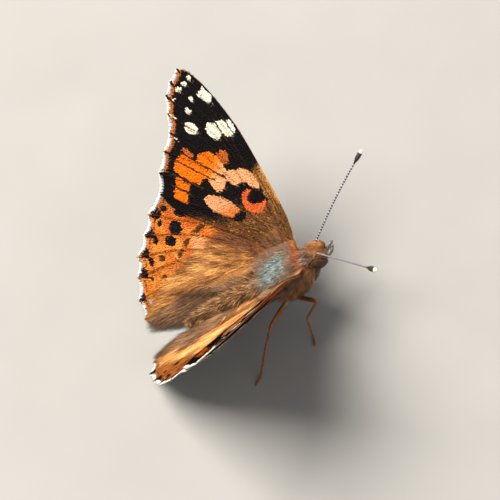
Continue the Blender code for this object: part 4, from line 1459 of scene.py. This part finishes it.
def limb_hairs(name, limbs, count, length, stand, tones, slot, material):
    """Short hair round some limbs, lying towards their tips. Each limb is a path and its radii."""
    hairs = []
    for path, sizes in limbs:
        along = lengths_along(path)
        where = RNG.uniform(0.0, along[-1], count)
        tangent = unit(read_along(where, along, np.gradient(path, axis=0)))
        normal = square_to(tangent, RNG.normal(0.0, 1.0, (count, 3)))
        depth = np.interp(where, along, sizes) - 0.02
        hairs.append((read_along(where, along, path) + normal * depth[:, None], tangent, normal))
    root, lie, normal = (np.vstack(part) for part in zip(*hairs))
    reach = RNG.uniform(*length, len(root))
    lift = RNG.uniform(*stand, len(root))
    radius = RNG.uniform(0.012, 0.022, len(root))
    colour = blend(*tones, RNG.random(len(root)))
    add_fur(name, root, lie, normal, reach, lift, radius, colour, material)


def limb(points, sizes, side):
    """A smooth path through a limb's points on one side, and its radius at each step."""
    path = curve_through(mirrored(points, side), LIMB_STEPS)
    return path, np.interp(np.linspace(0.0, 1.0, len(path)), np.linspace(0.0, 1.0, len(sizes)), sizes)


# Hair of the body: count, stretch of the body, length, radius, how far it stands up, and swirl down the sides
BODY_COATS = {
    "coat_head": (9000, (-6.7, -4.0), (0.35, 0.75), (0.012, 0.022), (0.6, 1.1), 0.0),
    "coat_thorax": (19000, (-4.7, 4.4), (0.8, 1.6), (0.014, 0.026), (0.30, 0.75), 0.2),
    "coat_abdomen": (18000, (3.4, 16.3), (0.9, 1.8), (0.015, 0.028), (0.20, 0.55), 0.8),
}

# Hair of each limb: count, length, how far it stands up, dark and bright tones, and finish
LIMB_COATS = {
    "coat_palps": (700, (0.25, 0.50), (0.1, 0.4), (rgb(74, 56, 46), rgb(226, 222, 220)), "palp"),
    "coat_forelegs": (600, (0.3, 0.7), (0.2, 0.7), (rgb(96, 70, 50), rgb(196, 164, 130)), "fur"),
    "coat_legs": (900, (0.14, 0.30), (0.1, 0.5), (rgb(94, 50, 22), rgb(204, 136, 68)), "leg"),
}


def make_fur(material):
    """The coat of the body and its limbs."""
    for name, coat in BODY_COATS.items():
        body_hairs(name, *coat, material)
    limbs = {
        "coat_palps": [limb(PALP_PATH, PALP_RADII, side) for side in SIDES],
        "coat_forelegs": [limb(FORELEG_PATH, FORELEG_RADII, side) for side in SIDES],
        "coat_legs": [leg_stations(name, side) for name in LEG_JOINTS for side in SIDES],
    }
    for name, coat in LIMB_COATS.items():
        limb_hairs(name, limbs[name], *coat, material)


def eye_rim(side, material):
    """Short hair that stands round the eye's edge and leans out over it."""
    count = HAIRS["eye_rim"]
    turn = RNG.uniform(-math.pi, math.pi, count)
    rim = np.stack((np.full(count, -0.25), np.sin(turn) * 1.02, np.cos(turn) * 1.02), axis=-1)
    root = mirrored(rim * EYE_RADII + EYE_CENTRE, side)
    outward = mirrored(unit(rim * (0.0, 1.0, 1.0)), side)
    lean = unit(outward * 0.55 + (SIDES[side], 0.35, 0.1) + RNG.normal(0.0, 0.12, (count, 3)))
    above = ease((np.cos(turn) + 0.2) / 0.5)
    reach = RNG.uniform(0.22, 0.40, count) * (0.8 + 0.3 * above)
    lift = np.full(count, 0.3)
    radius = RNG.uniform(0.012, 0.020, count)
    tawny = blend(*EYE_RIM_HAIR, RNG.random(count))
    colour = blend(tawny, rgb(214, 202, 188), ease((-np.cos(turn) + np.sin(turn) - 0.6) / 0.6) * 0.7)
    add_fur(f"eye_rim_{side}", root, lean, outward, reach, lift, radius, colour, material)


def make_eye(side, material):
    """A finely divided ellipsoid, a little sunk in the head."""
    shape = bmesh.new()
    bmesh.ops.create_icosphere(shape, subdivisions=5, radius=1.0)
    ball = np.array([vertex.co for vertex in shape.verts])
    faces = np.array([[vertex.index for vertex in face.verts] for face in shape.faces])
    shape.free()
    points = ball * EYE_RADII + mirrored(EYE_CENTRE, side)
    colours = np.tile(rgb(60, 40, 26), (len(points), 1))
    turn = np.arctan2(ball[:, 2], ball[:, 1]) / (2.0 * math.pi)
    places = np.stack((turn, ball[:, 0] * 0.5), axis=-1) + 0.5
    piece = add_mesh(f"eye_surface_{side}", points, faces, colours, places, material)
    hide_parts(f"eye_{side}")


def antenna_path(side, share):
    """The feeler's middle line at shares of its length: straight, with a slight bow upwards."""
    level, spread = math.cos(ANTENNA_RISE), ANTENNA_SPREAD[side]
    forward = mirrored((level * math.sin(spread), -level * math.cos(spread), math.sin(ANTENNA_RISE)), side)
    path = mirrored(ANTENNA_BASE, side) + forward * (ANTENNA_LENGTH * share)[:, None]
    path[:, 2] += ANTENNA_BOW * np.sin(math.pi * np.clip(share, 0.0, 1.0))
    return path


def club_at(share):
    """How far the club has widened at shares of the feeler's length: 0 on the shaft, and a round end."""
    end = np.clip(1.0 - ((share - CLUB_WIDEST) / 0.062) ** 2, 0.03, 1.0)
    return ease((share - 0.85) / 0.07) * np.sqrt(np.where(share > CLUB_WIDEST, end, 1.0))


def antenna_tone(share, segment):
    """Dark, with a pale ring on each segment of the shaft, and a cream tip."""
    shade = paint(rgb(40, 29, 25), (segment < 0.36) & (share < 0.86), rgb(178, 182, 190))
    return paint(shade, share > 0.965, rgb(238, 222, 178))


def make_antenna(side, material):
    """A feeler of many slightly swollen segments, with a flattened club."""
    share = np.linspace(-0.01, 1.0, ANTENNA_RINGS)
    path = antenna_path(side, share)
    segment = (share * ANTENNA_SEGMENTS) % 1.0
    club = club_at(share)
    radius = ANTENNA_RADIUS + 0.02 * np.sin(math.pi * segment) ** 0.5 + CLUB_RADIUS * club
    blunt = radius * np.sqrt(np.clip((1.0 - share) / 0.015, 0.02, 1.0))
    radius = np.where(share > 0.985, blunt, radius)[:, None]
    along = unit(np.gradient(path, axis=0))
    across = unit(np.cross(along, (0.0, 0.0, 1.0)))
    over = np.cross(across, along) * (1.0 - 0.2 * club)[:, None]
    turns = np.arange(ANTENNA_SIDES) * 2.0 * math.pi / ANTENNA_SIDES
    sides = [path + (across * math.cos(turn) + over * math.sin(turn)) * radius for turn in turns]
    points = np.stack(sides, axis=1).reshape(-1, 3)
    triangles = []
    for face in ring_faces(ANTENNA_RINGS, ANTENNA_SIDES):
        triangles += [(face[0], b, c) for b, c in zip(face[1:], face[2:])]
    colours = np.repeat(antenna_tone(share, segment), ANTENNA_SIDES, axis=0)
    around = np.tile(np.arange(ANTENNA_SIDES) / ANTENNA_SIDES, ANTENNA_RINGS)
    ahead = np.repeat(np.linspace(0.02, 0.98, ANTENNA_RINGS), ANTENNA_SIDES)
    places = np.stack((around, ahead), axis=-1)
    piece = add_mesh(f"antenna_surface_{side}", points, np.array(triangles), colours, places, material)
    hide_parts(f"antenna_{side}")


def make_wings():
    skin = tinted_material("wing_membrane", grain=0.12, roughness=0.7, bump=0.25, gleam=0.06)
    scale = tinted_material("wing_scales", grain=0.10, roughness=0.6, bump=0.30, gleam=0.07)
    hair = tinted_material("wing_hair", grain=0.25, roughness=0.42, bump=0.10, gleam=0.35)
    for side in SIDES:
        for wing in (FOREWING, HINDWING):
            wing_skin(wing, side, skin)
        for wing in (FOREWING, HINDWING):
            scales_on(wing, side, "above", scale)
            scales_on(wing, side, "below", scale)
            fringe(wing, side, hair)
        for cover in (hindwing_hair, forewing_hair, joining_hair, shoulder_fur, hindwing_root_hair):
            cover(side, hair)


# The stage

def make_stage():
    """A plain pale floor."""
    finish = Finish("floor_paint")
    cloud = finish.texture("TexNoise", Scale=60.0).outputs["Fac"]
    paint_tone = finish.ramp(cloud, (rgb(138, 136, 132), rgb(148, 146, 142)))
    finish.feed(finish.shader, Base_Color=paint_tone, Roughness=0.8)
    shape = bmesh.new()
    bmesh.ops.create_grid(shape, x_segments=4, y_segments=4, size=1.5)
    mesh = bpy.data.meshes.new("floor")
    shape.to_mesh(mesh)
    shape.free()
    mesh.materials.append(finish.material)
    floor = add_object("floor", mesh)


def make_camera():
    data = bpy.data.cameras.new("camera")
    data.lens = CAMERA_LENS
    data.sensor_width = CAMERA_SENSOR
    data.sensor_fit = "HORIZONTAL"
    data.clip_start = 0.01
    data.clip_end = 10.0
    camera = add_object("camera", data)
    camera.location = Vector(CAMERA_PLACE) * MM
    camera.rotation_euler = Euler([math.radians(angle) for angle in CAMERA_TURN])
    bpy.context.scene.camera = camera
    return camera


def add_light(name, camera, direction, distance, size, power, colour):
    """An area light in a direction given in the camera's own axes: right, up, towards the camera."""
    data = bpy.data.lights.new(name, "AREA")
    data.size = size
    data.energy = power
    data.color = colour
    light = add_object(name, data)
    turned = camera.rotation_euler.to_matrix() @ Vector(direction).normalized()
    light.location = turned * distance
    light.rotation_euler = (-turned).to_track_quat("-Z", "Y").to_euler()


def make_lights(camera):
    """A warm key light from the upper left, as in the photograph, a cool fill and a dim studio round them."""
    warm, cool = (1.0, 0.96, 0.90), (0.92, 0.95, 1.0)
    add_light("key", camera, (-0.60, 0.59, 0.56), distance=0.9, size=0.62, power=23.5, colour=warm)
    add_light("fill", camera, (0.7, -0.2, 0.8), distance=0.6, size=0.5, power=1.2, colour=cool)
    world = bpy.data.worlds.new("studio")
    world.use_nodes = True
    background = world.node_tree.nodes["Background"]
    background.inputs["Color"].default_value = (0.95, 0.96, 1.0, 1.0)
    background.inputs["Strength"].default_value = 0.35
    bpy.context.scene.world = world


def main():
    make_wings()
    body = tinted_material("body_skin", grain=0.15, roughness=0.6, bump=0.3, gleam=0.3)
    fur = tinted_material("body_fur", grain=0.25, roughness=0.40, bump=0.10, gleam=0.4)
    make_skin(body)
    make_fur(fur)
    eye = eye_material()
    feeler = tinted_material("feeler", grain=0.08, roughness=0.45, bump=0.2, gleam=0.4)
    for side in SIDES:
        make_eye(side, eye)
        eye_rim(side, fur)
        make_antenna(side, feeler)
    make_stage()
    camera = make_camera()
    make_lights(camera)
    bpy.context.scene.view_settings.view_transform = "Standard"


main()
